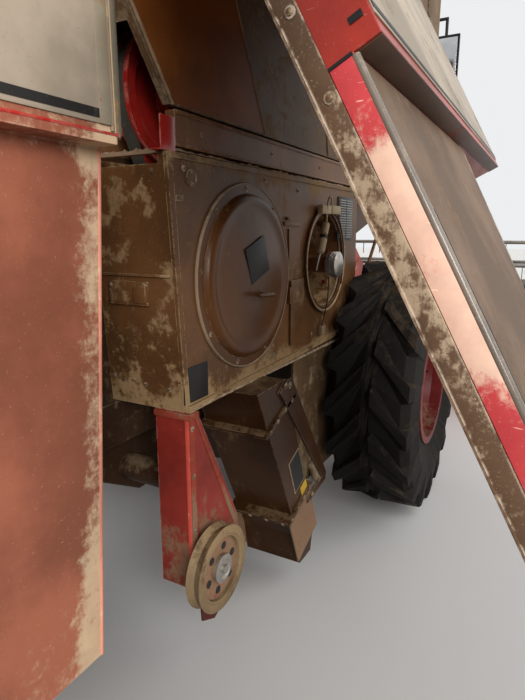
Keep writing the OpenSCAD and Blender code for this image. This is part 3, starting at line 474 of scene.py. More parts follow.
SOFT_EDGES = {
    0.003: "side_plate", 0.004: "right_housing tank_sills returns_leg cab_platform",
    0.005: "rear_panel_right rear_panel_left right_door left_door grain_elevator threshing_body "
           "header_table straw_deflector reel_arms",
    0.006: "grain_tank chassis rear_axle straw_hood tyre_front_right tyre_front_left cleaning_shoe "
           "mirrors",
    0.008: "front_axle lamps", 0.01: "feeder_house", 0.012: "cab_shell",
    0.02: "engine_cover engine_block", 0.025: "cab_roof",
}
EDGE_OF = {name: width for width, names in SOFT_EDGES.items() for name in names.split()}
WELD_WITHIN, SHARP_ENOUGH = 0.00005, math.radians(38)


def dress(name, paint):
    data = nodes[name].data
    data.materials.clear()
    data.materials.append(paint)
    if name in EDGE_OF:
        weld = nodes[name].modifiers.new("weld", "WELD")
        weld.merge_threshold = WELD_WITHIN
        rounded = nodes[name].modifiers.new("rounded", "BEVEL")
        rounded.width = EDGE_OF[name]
        rounded.segments = 2
        rounded.limit_method = "ANGLE"
        rounded.angle_limit = SHARP_ENOUGH
        rounded.harden_normals = False


for paint, names in FINISH:
    for name in names.split():
        dress(name, paint)
print("dressed later:", sorted(set(nodes) - {name for _, names in FINISH for name in names.split()}))

# %% [markdown]
# New pieces are made by a few helpers. A block is a cube that is scaled and bevelled, a plate is an
# outline that is extruded, and a turned piece is a profile that is spun. Each takes its place in
# metres from the front axle, so that a piece sits where the construction model says. One call then
# makes a piece from a list of such parts.

# %% Modelling helpers
OUT, INWARD, UP, AHEAD, BACK = (0, -1, 0), (0, 1, 0), (0, 0, 1), (1, 0, 0), (-1, 0, 0)
MIRROR = Matrix.Diagonal((1, -1, 1, 1))
SIDES = (("right", None), ("left", MIRROR))


def raised(mesh, grown, push):
    """Moves the points that an extrusion made."""
    points = [item for item in grown["geom"] if isinstance(item, bmesh.types.BMVert)]
    bmesh.ops.translate(mesh, vec=push, verts=points)


def block(mesh, low, high, round_off=0.0):
    low, high = Vector(low), Vector(high)
    place = Matrix.Translation(at(*((low + high) / 2)))
    made = bmesh.ops.create_cube(mesh, size=1, matrix=place @ Matrix.Diagonal((*(high - low), 1)))
    if round_off:
        # Each edge once, in the order of its points
        sides = dict.fromkeys(edge for vert in made["verts"] for edge in vert.link_edges)
        bmesh.ops.bevel(mesh, geom=list(sides), offset=round_off, offset_type="OFFSET",
                        segments=2, profile=0.5, affect="EDGES", material=-1)


def plate(mesh, outline, low, high):
    """An outline in X and Z that is extruded across the machine."""
    face = mesh.faces.new([mesh.verts.new(at(x, low, z)) for x, z in outline])
    raised(mesh, bmesh.ops.extrude_face_region(mesh, geom=[face]), (0, high - low, 0))
    bmesh.ops.holes_fill(mesh, edges=[edge for edge in mesh.edges if edge.is_boundary], sides=0)


def turned(mesh, centre, axis, profile, steps=40):
    """A profile of radius and height, spun round an axis through the centre."""
    axis = Vector(axis).normalized()
    turn = Vector(UP).rotation_difference(axis).to_matrix().to_4x4()
    turn = Matrix.Translation(at(*centre)) @ turn
    verts = [mesh.verts.new(turn @ Vector((radius, 0, height))) for radius, height in profile]
    line = [mesh.edges.new(pair) for pair in zip(verts, verts[1:])]
    bmesh.ops.spin(mesh, geom=verts + line, cent=at(*centre), axis=axis, angle=2 * math.pi,
                   steps=steps, use_merge=True)
    bmesh.ops.remove_doubles(mesh, verts=mesh.verts, dist=0.00002)


def bolt(mesh, centre, axis, radius):
    turned(mesh, centre, axis, [(0, 0), (radius * 1.6, 0), (radius * 1.6, radius * 0.25),
                                (radius, radius * 0.3), (radius * 0.95, radius * 0.7),
                                (radius * 0.5, radius), (0, radius * 1.05)], steps=10)


def disc(radius, low, high):
    return [(0, low), (radius, low), (radius, high), (0, high)]


def washer(hole, radius, low, high):
    return [(hole, low), (radius, low), (radius, high), (hole, high), (hole, low)]


def circle(x, y, z, radius, count, first=0.0):
    """Points on an upright circle along the machine, the first at an angle in degrees."""
    angles = [math.radians(first + 360 * step / count) for step in range(count)]
    return [(x + radius * math.cos(angle), y, z + radius * math.sin(angle)) for angle in angles]


def place_piece(name, data, paint, side, body):
    data.materials.append(paint)
    piece = bpy.data.objects.new(f"{name}_{side}" if side else name, data)
    bpy.context.collection.objects.link(piece)
    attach(piece, body)
    return piece


def make(name, paint, *parts, side="", body="machine", slot=None, fit=None, sharp=35):
    """A piece of parts, each given as its helper and what the helper takes."""
    mesh = bmesh.new()
    for add, *values in parts:
        add(mesh, *values)
    if fit is not None:
        bmesh.ops.transform(mesh, matrix=fit, verts=mesh.verts)
    bmesh.ops.recalc_face_normals(mesh, faces=mesh.faces)
    data = bpy.data.meshes.new(name)
    mesh.to_mesh(data)
    mesh.free()
    data.polygons.foreach_set("use_smooth", [True] * len(data.polygons))
    data.set_sharp_from_angle(angle=math.radians(sharp))
    return place_piece(name, data, paint, side, body)


def rod(name, paint, radius, *points, side="", body="machine", slot=None, fit=None, bend=False):
    """A bar or hose along points, with smooth bends if bend is true."""
    data = bpy.data.curves.new(name, "CURVE")
    data.dimensions = "3D"
    data.bevel_depth = radius
    data.bevel_resolution = 3
    data.use_fill_caps = True
    spline = data.splines.new("NURBS" if bend else "POLY")
    spline.points.add(len(points) - 1)
    for point, place in zip(spline.points, points):
        point.co = (*(at(*place) if fit is None else fit @ at(*place)), 1)
    if bend:
        spline.order_u = 3
        spline.use_endpoint_u = True
        data.resolution_u = 6
    return place_piece(name, data, paint, side, body)


# %% [markdown]
# The rear side panel fills the left edge of the view. Its upper band is a separate pressed sheet,
# off-white with a black line, and it ends in a rounded flange that shows beige where dust has
# settled. A thin lip stiffens the red sheet's front edge, and its paint is bleached and worn.

# %% Rear side panels
PANEL_Y, BAND_Y = -1.25, -1.295
PANEL_BACK, PANEL_FRONT, BAND_LOW, BAND_TOP = -4.30, -2.43, 1.745, 2.06
LINE_LOW, LINE_TOP = BAND_LOW + 0.036, BAND_LOW + 0.050
dust_edge = in_white("dusted_rim", (0.30, 0.215, 0.135), (0.46, 0.36, 0.245), 0.5, 0.5, 22.0)
ochre_flange = in_white("ochre_flange", (0.20, 0.175, 0.125), (0.42, 0.225, 0.075), 0.30, 0.45, 9.0,
                        0.2, more_dust=under(1.80, 0.16, 0.22))


def panel_pieces(side, fit):
    piece, bar = partial(make, side=side, fit=fit), partial(rod, side=side, fit=fit)
    piece("panel_band", white, (block, (PANEL_BACK + 0.004, BAND_Y - 0.003, BAND_LOW + 0.028),
                                (PANEL_FRONT - 0.012, BAND_Y, BAND_TOP - 0.004), 0.001))
    piece("panel_stripe", black, (block, (PANEL_BACK + 0.004, BAND_Y - 0.004, LINE_LOW),
                                  (PANEL_FRONT - 0.045, BAND_Y - 0.003, LINE_TOP)))
    piece("panel_flange", ochre_flange, (turned, (PANEL_FRONT, BAND_Y + 0.022, BAND_LOW + 0.012), UP, [
        (0, 0), (0.019, 0), (0.022, 0.006), (0.022, 0.296), (0.019, 0.300), (0, 0.300)], 24))
    piece("panel_face", beige, (block, (PANEL_FRONT - 0.044, BAND_Y - 0.0045, BAND_LOW + 0.028),
                                (PANEL_FRONT - 0.016, BAND_Y - 0.0005, BAND_TOP - 0.004), 0.001))
    bar("panel_ridge", dust_edge, 0.0042, (PANEL_FRONT - 0.015, BAND_Y - 0.001, BAND_LOW + 0.02),
        (PANEL_FRONT - 0.015, BAND_Y - 0.001, BAND_TOP - 0.004))
    bar("panel_seam", bright_red, 0.0035, (PANEL_BACK, BAND_Y + 0.002, BAND_LOW + 0.016),
        (PANEL_FRONT + 0.002, BAND_Y + 0.002, BAND_LOW + 0.016))
    bar("panel_lip", pink_edge, 0.0045, (-2.509, PANEL_Y + 0.002, 0.782),
        (-2.431, PANEL_Y + 0.002, 1.742))
    piece("panel_hinges", brown, *[(turned, (x, BAND_Y + 0.006, BAND_TOP + 0.002), AHEAD,
                                    disc(0.009, -0.05, 0.05), 16) for x in (-4.0, -2.8)])


for side, fit in SIDES:
    panel_pieces(side, fit)
print("rear panels dressed")

# %% [markdown]
# The big round cover closes the front of a drum drive. A rolled rim, nine bolts on its flange, a
# raised ring and a blank plate make it read as a pressing, so the dish is turned anew with those.
# The T-shaped handle is two short turned bars.

# %% Round cover
COVER_X, COVER_Z, COVER_R = -1.42, 1.44, 0.335
COVER = (COVER_X, SIDE_Y, COVER_Z)
make("cover_rim", dust_edge, (turned, COVER, OUT, [
    (COVER_R - 0.001, 0.0), (COVER_R + 0.003, 0.001), (COVER_R + 0.004, 0.006),
    (COVER_R + 0.001, 0.0105), (COVER_R - 0.003, 0.010), (COVER_R - 0.004, 0.006),
    (COVER_R - 0.001, 0.0)], 96), slot="brown_paint", sharp=50)
dish = make("cover_dish", cover_brown, (turned, COVER, OUT, [
    (0, 0), (COVER_R, 0), (COVER_R, 0.008), (0.301, 0.010), (0.295, 0.022), (0.288, 0.030),
    (0.275, 0.034), (0.262, 0.031), (0.250, 0.028), (0.225, 0.029), (0.180, 0.034), (0.120, 0.039),
    (0.060, 0.042), (0, 0.043)], 96), sharp=50)
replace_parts(dish, "drum_cover")
make("cover_bolts", screw_brown, *[(bolt, spot, OUT, 0.0065) for spot in
                                   circle(COVER_X, SIDE_Y - 0.009, COVER_Z, 0.317, 9, 13)])
pivot = Matrix.Translation(at(-1.415, -1.0, 1.505))
make("cover_blank_plate", black, (block, (-1.488, -1.0045, 1.437), (-1.342, -1.0000, 1.573), 0.0012),
     fit=pivot @ Matrix.Rotation(math.radians(-19.7), 4, "Y") @ pivot.inverted())
make("cover_handle", cover_brown,
     (turned, (-1.40, -1.0, 1.375), OUT, [(0, 0), (0.014, 0), (0.010, 0.008), (0.008, 0.030),
                                          (0, 0.030)], 16),
     (turned, (-1.40, -1.034, 1.375), (1, 0, -0.06), [
         (0, -0.062), (0.006, -0.06), (0.008, -0.05), (0.008, 0.05), (0.006, 0.06), (0, 0.062)], 16))
print("round cover dressed")

# %% [markdown]
# The housing's sides carry many small things: a round plug, a slot, a blank plate by the lower
# corner, a half-round plate and a hinged plate between the covers, and a row of cap screws. They
# are thin blocks and turned heads that stand a few millimetres proud of the sheet.

# %% Housing details
SIDE_SCREWS = [(-1.05, 1.60), (-1.05, 1.47), (-0.985, 1.535), (-1.04, 1.13), (-1.04, 1.38),
               (-0.94, 1.13), (-0.94, 1.38), (-1.80, 1.79), (-0.22, 1.80), (-0.30, 1.14),
               (-1.20, 1.10), (-1.60, 1.085), (-0.80, 1.12), (-0.98, 1.78), (-1.28, 1.80)]
HALF_ROUND = [(-1.075, 1.620)] + [(-1.075 + 0.105 * math.sin(math.radians(turn)),
                                   1.535 + 0.085 * math.cos(math.radians(turn)))
                                  for turn in range(0, 181, 20)]
make("housing_plug", screw_brown,
     (turned, (-1.761, SIDE_Y, 1.766), OUT, [(0, 0), (0.026, 0), (0.026, 0.005), (0.018, 0.009),
                                             (0.016, 0.006), (0, 0.006)], 28),
     (block, (-1.842, SIDE_Y - 0.003, 1.694), (-1.806, SIDE_Y + 0.001, 1.712), 0.001))
make("housing_blank_plate", black, (block, (-1.832, SIDE_Y - 0.0025, 1.056),
                                    (-1.697, SIDE_Y + 0.001, 1.176), 0.001))
make("housing_hatches", housing_brown, (plate, HALF_ROUND, SIDE_Y - 0.008, SIDE_Y),
     (block, (-1.055, SIDE_Y - 0.012, 1.11), (-0.925, SIDE_Y, 1.40), 0.003),
     (block, (-1.075, SIDE_Y - 0.016, 1.30), (-1.050, SIDE_Y, 1.37), 0.003),
     (block, (-1.130, SIDE_Y - 0.014, 1.630), (-0.975, SIDE_Y, 1.648), 0.003),
     (block, (-1.100, SIDE_Y - 0.014, 1.655), (-1.060, SIDE_Y, 1.668), 0.003))
make("housing_screws", screw_brown, *[(bolt, (x, SIDE_Y - 0.001, z), OUT, 0.006)
                                      for x, z in SIDE_SCREWS])
print("housing screws", len(SIDE_SCREWS))

# %% [markdown]
# The housing's rear wall leans back as it rises, and has a latch strap with rivets. What lies on it
# takes its place along the machine from its height. Folded edges frame the wall and the side.

# %% Rear wall of the housing
WALL_X, WALL_Z, WALL_LEAN = -1.822, 1.027, -0.055 / 0.808
RIVETS = [(-0.84, 1.44), (-0.84, 1.39), (-0.70, 1.44), (-0.70, 1.39), (-0.77, 1.413), (-0.66, 1.12),
          (-0.70, 1.11), (-0.75, 1.115), (-0.80, 1.105), (-0.90, 1.10), (-0.90, 1.78), (-0.68, 1.77)]


def wall_x(z):
    return WALL_X + WALL_LEAN * (z - WALL_Z)


make("rear_wall_strap", housing_brown,
     (block, (wall_x(1.42) - 0.011, -0.852, 1.375), (wall_x(1.42) + 0.004, -0.690, 1.452), 0.003),
     (block, (wall_x(1.42) - 0.022, -0.852, 1.385), (wall_x(1.42) - 0.004, -0.800, 1.440), 0.004),
     (block, (wall_x(1.47) - 0.008, -0.940, 1.468), (wall_x(1.47) + 0.006, -0.645, 1.476), 0.001))
make("rear_wall_rivets", screw_brown,
     *[(bolt, (wall_x(z) - (0.010 if 1.38 < z < 1.45 else 0.0), y, z), BACK, 0.005) for y, z in RIVETS])
make("housing_folds", housing_brown,
     (plate, [(-1.826, 1.03), (-1.804, 1.03), (-1.856, 1.83), (-1.881, 1.83)],
      SIDE_Y - 0.004, SIDE_Y + 0.01),
     (plate, [(-1.868, 1.815), (-0.20, 1.822), (-0.20, 1.838), (-1.868, 1.832)],
      SIDE_Y - 0.006, SIDE_Y + 0.01))
print("rear wall dressed")

# %% [markdown]
# Chaff and dust lie along the housing's top and on its lower lip. Each ledge is a strip whose
# upper points are pushed about by a fixed sine pattern, which gives a ragged crust every run.

# %% Dust crusts
dust_crust = worn_paint("chaff_crust", (0.30, 0.20, 0.12), (0.44, 0.33, 0.22), 0.7, 0.9, 30.0)


def crust(mesh, low, high, rough, steps):
    block(mesh, low, high)
    run = 0 if high[0] - low[0] > high[1] - low[1] else 1
    long_edges = [edge for edge in mesh.edges
                  if abs(edge.verts[0].co[run] - edge.verts[1].co[run]) > 0.9 * (high[run] - low[run])]
    bmesh.ops.subdivide_edges(mesh, edges=long_edges, cuts=steps, use_grid_fill=True)
    for vert in mesh.verts:
        phase = vert.co.x * 61 + vert.co.y * 83
        wave = math.sin(phase) * math.sin(phase * 2.7 + 1) + 0.5 * math.sin(phase * 5.3)
        if vert.co.z > (low[2] + high[2]) / 2:
            vert.co.z += rough * wave
        else:
            vert.co.y -= rough * 0.6 * abs(wave)


for name, *strip in (("dust_top_rear", (-1.872, -0.962, 1.828), (-1.845, -0.66, 1.840), 0.006, 40),
                     ("dust_lip", (-1.80, -0.980, 1.036), (-0.17, -0.966, 1.041), 0.004, 120),
                     ("dust_sill", (-1.83, -0.963, 1.836), (-0.2, -0.90, 1.841), 0.004, 90)):
    make(name, dust_crust, (crust, *strip), sharp=80)
print("dust crusts laid")

# %% [markdown]
# The second opening has lost its cover, so the belt tightener in it shows. A thin double rim, a
# dark floor with tabs, a cream bracket with a hooked rod, a spring sleeve and a ribbed coil are
# separate pieces here, because each has its own finish.

# %% Second opening
RING_X, RING_Z, SLEEVE_LEAN = -0.66, 1.471, (-0.075, 0.0, -0.15)
RING = (RING_X, SIDE_Y, RING_Z)
hub_steel = in_steel("ribbed_hub_steel", (0.40, 0.37, 0.33), (0.20, 0.14, 0.09), 0.45, 0.3, 30.0,
                     0.2, metal=0.8)
inner_red = worn_paint("opening_inner_red", (0.14, 0.022, 0.014), (0.13, 0.075, 0.04), 0.5, 0.5, 14.0,
                       0.25)
make("opening_rims", dust_edge,
     (turned, RING, OUT, [(0.246, 0.012), (0.252, 0.014), (0.254, 0.019), (0.247, 0.021),
                          (0.242, 0.017), (0.246, 0.012)], 80),
     (turned, RING, OUT, [(0.222, -0.004), (0.227, -0.004), (0.2275, 0.000), (0.224, 0.003),
                          (0.222, -0.004)], 80), slot="bare_steel", sharp=50)
make("opening_floor", inner_red,
     (turned, (RING_X, -0.7725, RING_Z), OUT, [(0, 0), (0.2285, 0), (0.2285, 0.004), (0.19, 0.006),
                                               (0.18, 0.001), (0, 0.002)], 64),
     *[(block, (x - 0.014, -0.905, z - 0.010), (x + 0.014, -0.885, z + 0.010), 0.002)
       for x, _, z in circle(*RING, 0.213, 8, 10)])
make("opening_bracket", cream, (block, (-0.786, -1.000, 1.690), (-0.672, -0.972, 1.731), 0.004),
     (block, (-0.664, -1.000, 1.692), (-0.545, -0.972, 1.733), 0.004),
     (block, (-0.725, -0.985, 1.105), (-0.672, -0.960, 1.150), 0.004))
make("spring_sleeve", cream, (turned, (-0.712, -0.990, 1.650), SLEEVE_LEAN, [
    (0, 0), (0.012, 0), (0.017, 0.006), (0.017, 0.060), (0.012, 0.064), (0.012, 0.080), (0.019, 0.084),
    (0.019, 0.150), (0.012, 0.158), (0, 0.158)], 20))
make("spring_band", black, (turned, (-0.742, -0.990, 1.590), SLEEVE_LEAN, disc(0.0175, 0, 0.014), 20))
RIBS = [spot for rib in range(5) for spot in ((0.062, rib * 0.007), (0.056, rib * 0.007 + 0.0035))]
make("ribbed_hub", hub_steel, (turned, (RING_X, -1.0105, RING_Z - 0.02), OUT, [
    (0, -0.022), (0.060, -0.022), (0.0605, -0.004), *RIBS, (0.036, 0.036), (0.020, 0.038), (0, 0.039)]))
rod("hooked_rod", cream, 0.0045, (-0.690, -1.004, 1.735), (-0.700, -1.010, 1.765),
    (-0.722, -1.010, 1.772), (-0.735, -1.004, 1.750), (-0.722, -0.995, 1.700), (-0.714, -0.990, 1.648),
    slot="bare_steel", bend=True)
rod("sleeve_rod", steel, 0.0045, (-0.782, -0.990, 1.510), (-0.800, -0.985, 1.470),
    (-0.790, -0.975, 1.430), bend=True)
rod("hub_wire", hose, 0.003, (-0.690, -1.000, 1.392), (-0.700, -1.005, 1.300), (-0.690, -0.985, 1.220),
    (-0.700, -0.974, 1.150), bend=True)
rod("rim_wire", hose, 0.003, (-0.545, -0.985, 1.690), (-0.470, -0.985, 1.600), (-0.440, -0.985, 1.470),
    (-0.470, -0.985, 1.340), bend=True)
print("second opening dressed")

# %% [markdown]
# Ahead of it sits a small louvre plate. Its sixteen slots are too thin to cut one by one, so each
# is a narrow raised strip of bright metal on a dark plate, as a louvre's lip catches the light.

# %% Louvre plate
LIPS = [(low, high, 1.580 + row * 0.0125) for row in range(16)
        for low, high in ((-0.474, -0.388), (-0.372, -0.286))]
make("louvre_plate", louvre, (block, (-0.492, SIDE_Y - 0.006, 1.565), (-0.268, SIDE_Y, 1.785), 0.002))
make("louvre_lips", steel, *[(block, (low, SIDE_Y - 0.0095, z), (high, SIDE_Y - 0.006, z + 0.0035))
                             for low, high, z in LIPS])
print("louvre lips", len(LIPS))

# %% [markdown]
# The tank's side leans out over the housing. Its rear plate is cleaner and darker than the next
# one, and both end in a folded edge that has collected dust. The plate is an outline with the
# tank's own lean, 3 mm thick, and each fold is a bar along its edge.

# %% Tank plates and sill
# Both tank browns and the sill brown are lifted as painted light against the overhang's shade
TANK_Y, TANK_LOW, TANK_RISE = -0.950, 1.966, 0.700
REAR_LEAN, SEAM_LEAN = math.tan(math.radians(36.8)), 0.53
REAR_X, SEAM_X = -1.822, -1.268
SILL_BACK, SILL_FRONT = -1.828, 0.296


def tank_pieces(side, fit):
    piece, bar = partial(make, side=side, fit=fit), partial(rod, side=side, fit=fit)
    high, seam_top = TANK_LOW + TANK_RISE, SEAM_X - SEAM_LEAN * TANK_RISE
    piece("tank_plate", clean_brown_painted_light, (plate, [(REAR_X, TANK_LOW), (SEAM_X, TANK_LOW), (seam_top, high),
                                              (REAR_X - REAR_LEAN * TANK_RISE, high)],
                                      TANK_Y - 0.003, TANK_Y - 0.0002))
    bar("tank_fold_rear", dust_crust, 0.0045, (SILL_BACK, TANK_Y - 0.002, TANK_LOW - 0.002),
        (SILL_BACK - REAR_LEAN * TANK_RISE, TANK_Y - 0.002, high - 0.002))
    bar("tank_fold_seam", dust_crust, 0.004, (SEAM_X, TANK_Y - 0.002, TANK_LOW),
        (seam_top, TANK_Y - 0.002, high))
    bar("tank_fold_front", tank_brown_painted_light, 0.004, (-0.62, TANK_Y - 0.001, TANK_LOW),
        (-0.80, TANK_Y - 0.001, 2.66))
    piece("tank_ribs", tank_brown_painted_light,
          *[(block, (x - 0.02, -1.2585, 2.72), (x + 0.02, -1.2495, 3.21), 0.004)
            for x in (-2.0, -1.5, -1.0, -0.5, 0.0)],
          (block, (-2.36, -1.262, 3.235), (0.29, -1.2495, 3.255), 0.004))
    piece("sill_folds", sill_brown_painted_light,
          (block, (SILL_BACK, SIDE_Y - 0.005, 1.8495), (SILL_FRONT, SIDE_Y, 1.857), 0.001),
          (block, (SILL_BACK, SIDE_Y - 0.004, 1.938), (SILL_FRONT, SIDE_Y, 1.9495), 0.001))
    piece("sill_bolts", screw_brown, *[(bolt, (-1.70 + step * 0.48, SIDE_Y, 1.90), OUT, 0.005)
                                       for step in range(5)], slot="brown_paint")


for side, fit in SIDES:
    tank_pieces(side, fit)
print("tank and sills dressed")

# %% [markdown]
# The big pulley takes a wide belt that runs down into the housing. A belt is a loop round two
# circles: an arc on each and the straight runs between. Its outline is drawn once, extruded to a
# band across, and solidified.

# %% Belts
ARC_STEPS, BELT_THICK = 24, 0.012
BELTS = [("drive_belt", (-1.640, 2.030, 0.212), (-1.620, 1.700, 0.10), -0.770, 0.040),
         ("left_belt_0", (-1.300, 1.500, 0.240), (-0.500, 1.450, 0.180), 0.684, 0.030),
         ("left_belt_1", (-2.100, 1.300, 0.142), (-1.650, 1.740, 0.072), 0.684, 0.024),
         ("left_belt_2", (-2.100, 1.700, 0.082), (-0.060, 1.700, 0.102), 0.774, 0.026)]


def belt(mesh, first, second, y, width):
    """A belt round two pulleys, each given as X, Z and radius."""
    dx, dz = second[0] - first[0], second[1] - first[1]
    line, spread = math.atan2(dz, dx), math.acos((first[2] - second[2]) / math.hypot(dx, dz))
    path = []
    arcs = ((first, spread, 2 * math.pi - spread), (second, -spread, spread))
    for (x, z, radius), start, end in arcs:
        for step in range(ARC_STEPS + 1):
            angle = line + start + (end - start) * step / ARC_STEPS
            path.append((x + radius * math.cos(angle), z + radius * math.sin(angle)))
    ring = [mesh.verts.new(at(x, y - width / 2, z)) for x, z in path]
    loop = [mesh.edges.new(pair) for pair in zip(ring, ring[1:] + ring[:1])]
    raised(mesh, bmesh.ops.extrude_edge_only(mesh, edges=loop), (0, width, 0))
    bmesh.ops.recalc_face_normals(mesh, faces=mesh.faces)
    bmesh.ops.solidify(mesh, geom=mesh.faces[:], thickness=BELT_THICK)


for name, *run in BELTS:
    make(name, belt_grey, (belt, *run), sharp=50)
make("tank_corner_bracket", bright_red,
     (block, (-1.905, -0.9635, 1.832), (-1.838, -0.9595, 1.926), 0.0012),
     (block, (-1.905, -0.960, 1.8315), (-1.838, -0.925, 1.8365), 0.0012))
make("drive_pulley_rim", bright_red,
     (turned, (-1.640, -0.8005, 2.030), OUT, [(0.200, 0), (0.214, 0), (0.216, 0.004), (0.212, 0.006),
                                              (0.202, 0.004), (0.200, 0)], 64),
     *[(bolt, spot, OUT, 0.006) for spot in circle(-1.640, -0.821, 2.030, 0.036, 6, 20)])
print("belts", len(BELTS))

# %% [markdown]
# Below the housing stand the red returns leg and the brown grain elevator. The leg's rear edge is
# rubbed bright and its foot is caked. Its folds and guard are thin plates laid on the sheet.

# %% Returns leg
LEG_Y = -0.9695
leg_worn = in_red("leg_worn_stripe", (0.56, 0.08, 0.055), (0.66, 0.36, 0.25), 0.4, 0.3, 20.0)
leg_dark = in_red("leg_guard_dark", (0.10, 0.018, 0.011), (0.13, 0.08, 0.05), 0.5, 0.5, 14.0, 0.3)
leg_dirt = in_red("leg_caked", (0.26, 0.045, 0.025), (0.26, 0.17, 0.10), 0.55, 0.6, 10.0, 0.2,
                  more_dust=under(0.55, 0.25, 0.3))
leg_red = in_red("leg_red", (0.22, 0.024, 0.016), (0.24, 0.14, 0.08), 0.28, 0.36, 7.0, 0.10,
                 (0.56, 0.26, 0.18), more_dust=under(0.50, 0.22, 0.24))
# The leg's own red replaces the first one, and its edges are softened a second time
dress("returns_leg", leg_red)
make("leg_cross_sleeve", frame_brown, (turned, (-1.66, -0.829, 0.690), INWARD,
                                       washer(0.0505, 0.053, 0, 0.288), 32))
make("leg_worn_edge", leg_worn, (block, (-1.8225, -0.968, 0.47), (-1.8195, -0.952, 1.015), 0.0008))
make("leg_folds", leg_dirt,
     (plate, [(-1.822, 1.018), (-1.796, 1.018), (-1.796, 0.38), (-1.822, 0.38)], LEG_Y - 0.003, LEG_Y),
     (plate, [(-1.800, 1.018), (-1.786, 1.018), (-1.540, 0.52), (-1.556, 0.50)], LEG_Y - 0.003, LEG_Y),
     (block, (-1.826, -0.975, 1.000), (-1.770, -0.825, 1.022), 0.003))
make("leg_foot_guard", leg_dark, (plate, [(-1.800, 0.400), (-1.610, 0.420), (-1.590, 0.300),
                                          (-1.630, 0.215), (-1.710, 0.185), (-1.785, 0.225)],
                                  LEG_Y - 0.007, LEG_Y))
make("leg_bolts", screw_brown, *[(bolt, (-1.809, LEG_Y - 0.003, z), OUT, 0.006)
                                 for z in (0.42, 0.60, 0.80, 0.97)])
print("returns leg dressed")

# %% [markdown]
# The pulley at the leg's foot is a cream ring round a caked web and a hub with six holes. Each is
# turned from a profile and rides with the sheave, so that the holes go round with it.

# %% Foot pulley
FOOT_X, FOOT_Z = -1.767, 0.457
foot_cream = in_white("foot_pulley_cream", (0.25, 0.17, 0.09), (0.13, 0.08, 0.04), 0.55, 0.6, 12.0, 0.3)
dress("foot_pulley", foot_cream)
foot_piece = partial(make, body="foot_sheave")
foot_piece("foot_pulley_web", leg_dirt, (turned, (FOOT_X, -1.0375, FOOT_Z), OUT, [
    (0.046, 0), (0.111, 0), (0.111, 0.004), (0.098, 0.009), (0.060, 0.007), (0.046, 0.004),
    (0.046, 0)], 48))
foot_piece("foot_pulley_ring", foot_cream, (turned, (FOOT_X, -1.0548, FOOT_Z), OUT, [
    (0.118, 0), (0.149, 0), (0.151, 0.003), (0.146, 0.005), (0.122, 0.004), (0.118, 0)], 64))
foot_piece("foot_pulley_hub", steel, (turned, (FOOT_X, -1.0505, FOOT_Z), OUT, [
    (0, 0), (0.050, 0), (0.050, 0.010), (0.036, 0.013), (0.030, 0.008), (0.016, 0.008),
    (0.014, 0.020), (0, 0.021)], 32))
foot_piece("foot_pulley_holes", hose, *[(turned, spot, OUT, disc(0.014, 0, 0.0012), 16) for spot in
                                        circle(FOOT_X, -1.0462, FOOT_Z, 0.078, 6, 15)])
print("foot pulley dressed")

# %% [markdown]
# The grain elevator is a square sheet tube. Flanges cross it where its foot box is bolted on, and
# they follow its slope, so their corners are worked out from one point and the tube's direction.

# %% Grain elevator
ALONG, ACROSS = Vector((0.384, -0.923)), Vector((0.923, 0.384))
OUTER, INNER = -1.092, -0.788


def tilted(x, z, half_across, half_along):
    """The corners in X and Z of a plate that lies square to the elevator."""
    middle = Vector((x, z))
    return [tuple(middle + ACROSS * a * half_across + ALONG * b * half_along)
            for a, b in ((-1, -1), (1, -1), (1, 1), (-1, 1))]


make("elevator_flanges", brown, (plate, tilted(-1.185, 0.437, 0.128, 0.007), OUTER, INNER),
     (plate, tilted(-1.385, 0.905, 0.134, 0.007), OUTER, INNER))
make("elevator_foot_sides", leg_dirt,
     (plate, tilted(-1.130, 0.300, 0.112, 0.120), -1.0855, -1.0795),
     (plate, tilted(-1.130, 0.300, 0.112, 0.120), -0.8005, -0.795))
make("elevator_plate_border", cream, (plate, tilted(-1.215, 0.600, 0.052, 0.090), -1.0825, -1.0800))
make("elevator_blank_plate", black, (plate, tilted(-1.215, 0.600, 0.047, 0.085), -1.0835, -1.0824))
make("elevator_patch", yellow, (plate, tilted(-1.128, 0.470, 0.030, 0.045), -1.0822, -1.0800))
FLANGE_BOLTS = [(-1.185 + ACROSS.x * a + dx, 0.437 + ACROSS.y * a + dz)
                for a in (-0.10, -0.035, 0.035, 0.10) for dx, dz in ((0, 0), (-0.2, 0.468))]
make("elevator_bolts", screw_brown,
     *[(bolt, (x, OUTER, z), OUT, 0.006) for x, z in FLANGE_BOLTS],
     *[(bolt, (x, OUTER, z), OUT, 0.009)
       for x, z in ((-1.355, 1.018), (-1.318, 1.012), (-0.985, 0.470), (-1.060, 0.420))],
     *[(bolt, (-1.305, y, 0.386), (-1, 0, -0.4), 0.005) for y in (-1.06, -0.98, -0.90, -0.82)])
rod("pipe_elbow", cream, 0.021, (-0.800, -0.962, 0.440), (-0.800, -0.990, 0.420),
    (-0.795, -0.992, 0.375), (-0.760, -0.985, 0.350), bend=True)
rod("link_rod", rust_brown, 0.010, (0.268, -0.955, 1.852), (0.268, -0.955, 1.609),
    (-0.230, -0.955, 1.080))
print("elevator dressed")

# %% [markdown]
# The side door stands propped open beside the camera, so its rear end face runs across the right
# of the view. Its paints are mixed for this place alone: a painted highlight pales the middle of
# that edge and the flange beside it, the lip and the skin's front edge are pale beige as painted
# highlights, the outer skin is brown-grey as a painted reflection and shade, and the band's
# underside is dark as painted shade.

# %% Paints of the side doors
HINGE, PROPPED = at(0, -1.262, 2.668), math.radians(-28)
SWING = Matrix.Translation(HINGE) @ Matrix.Rotation(PROPPED, 4, "X") @ Matrix.Translation(-HINGE)
DOOR_BACK, DOOR_FRONT, DOOR_LOW, DOOR_TOP = -2.375, -0.681, 0.750, 2.588


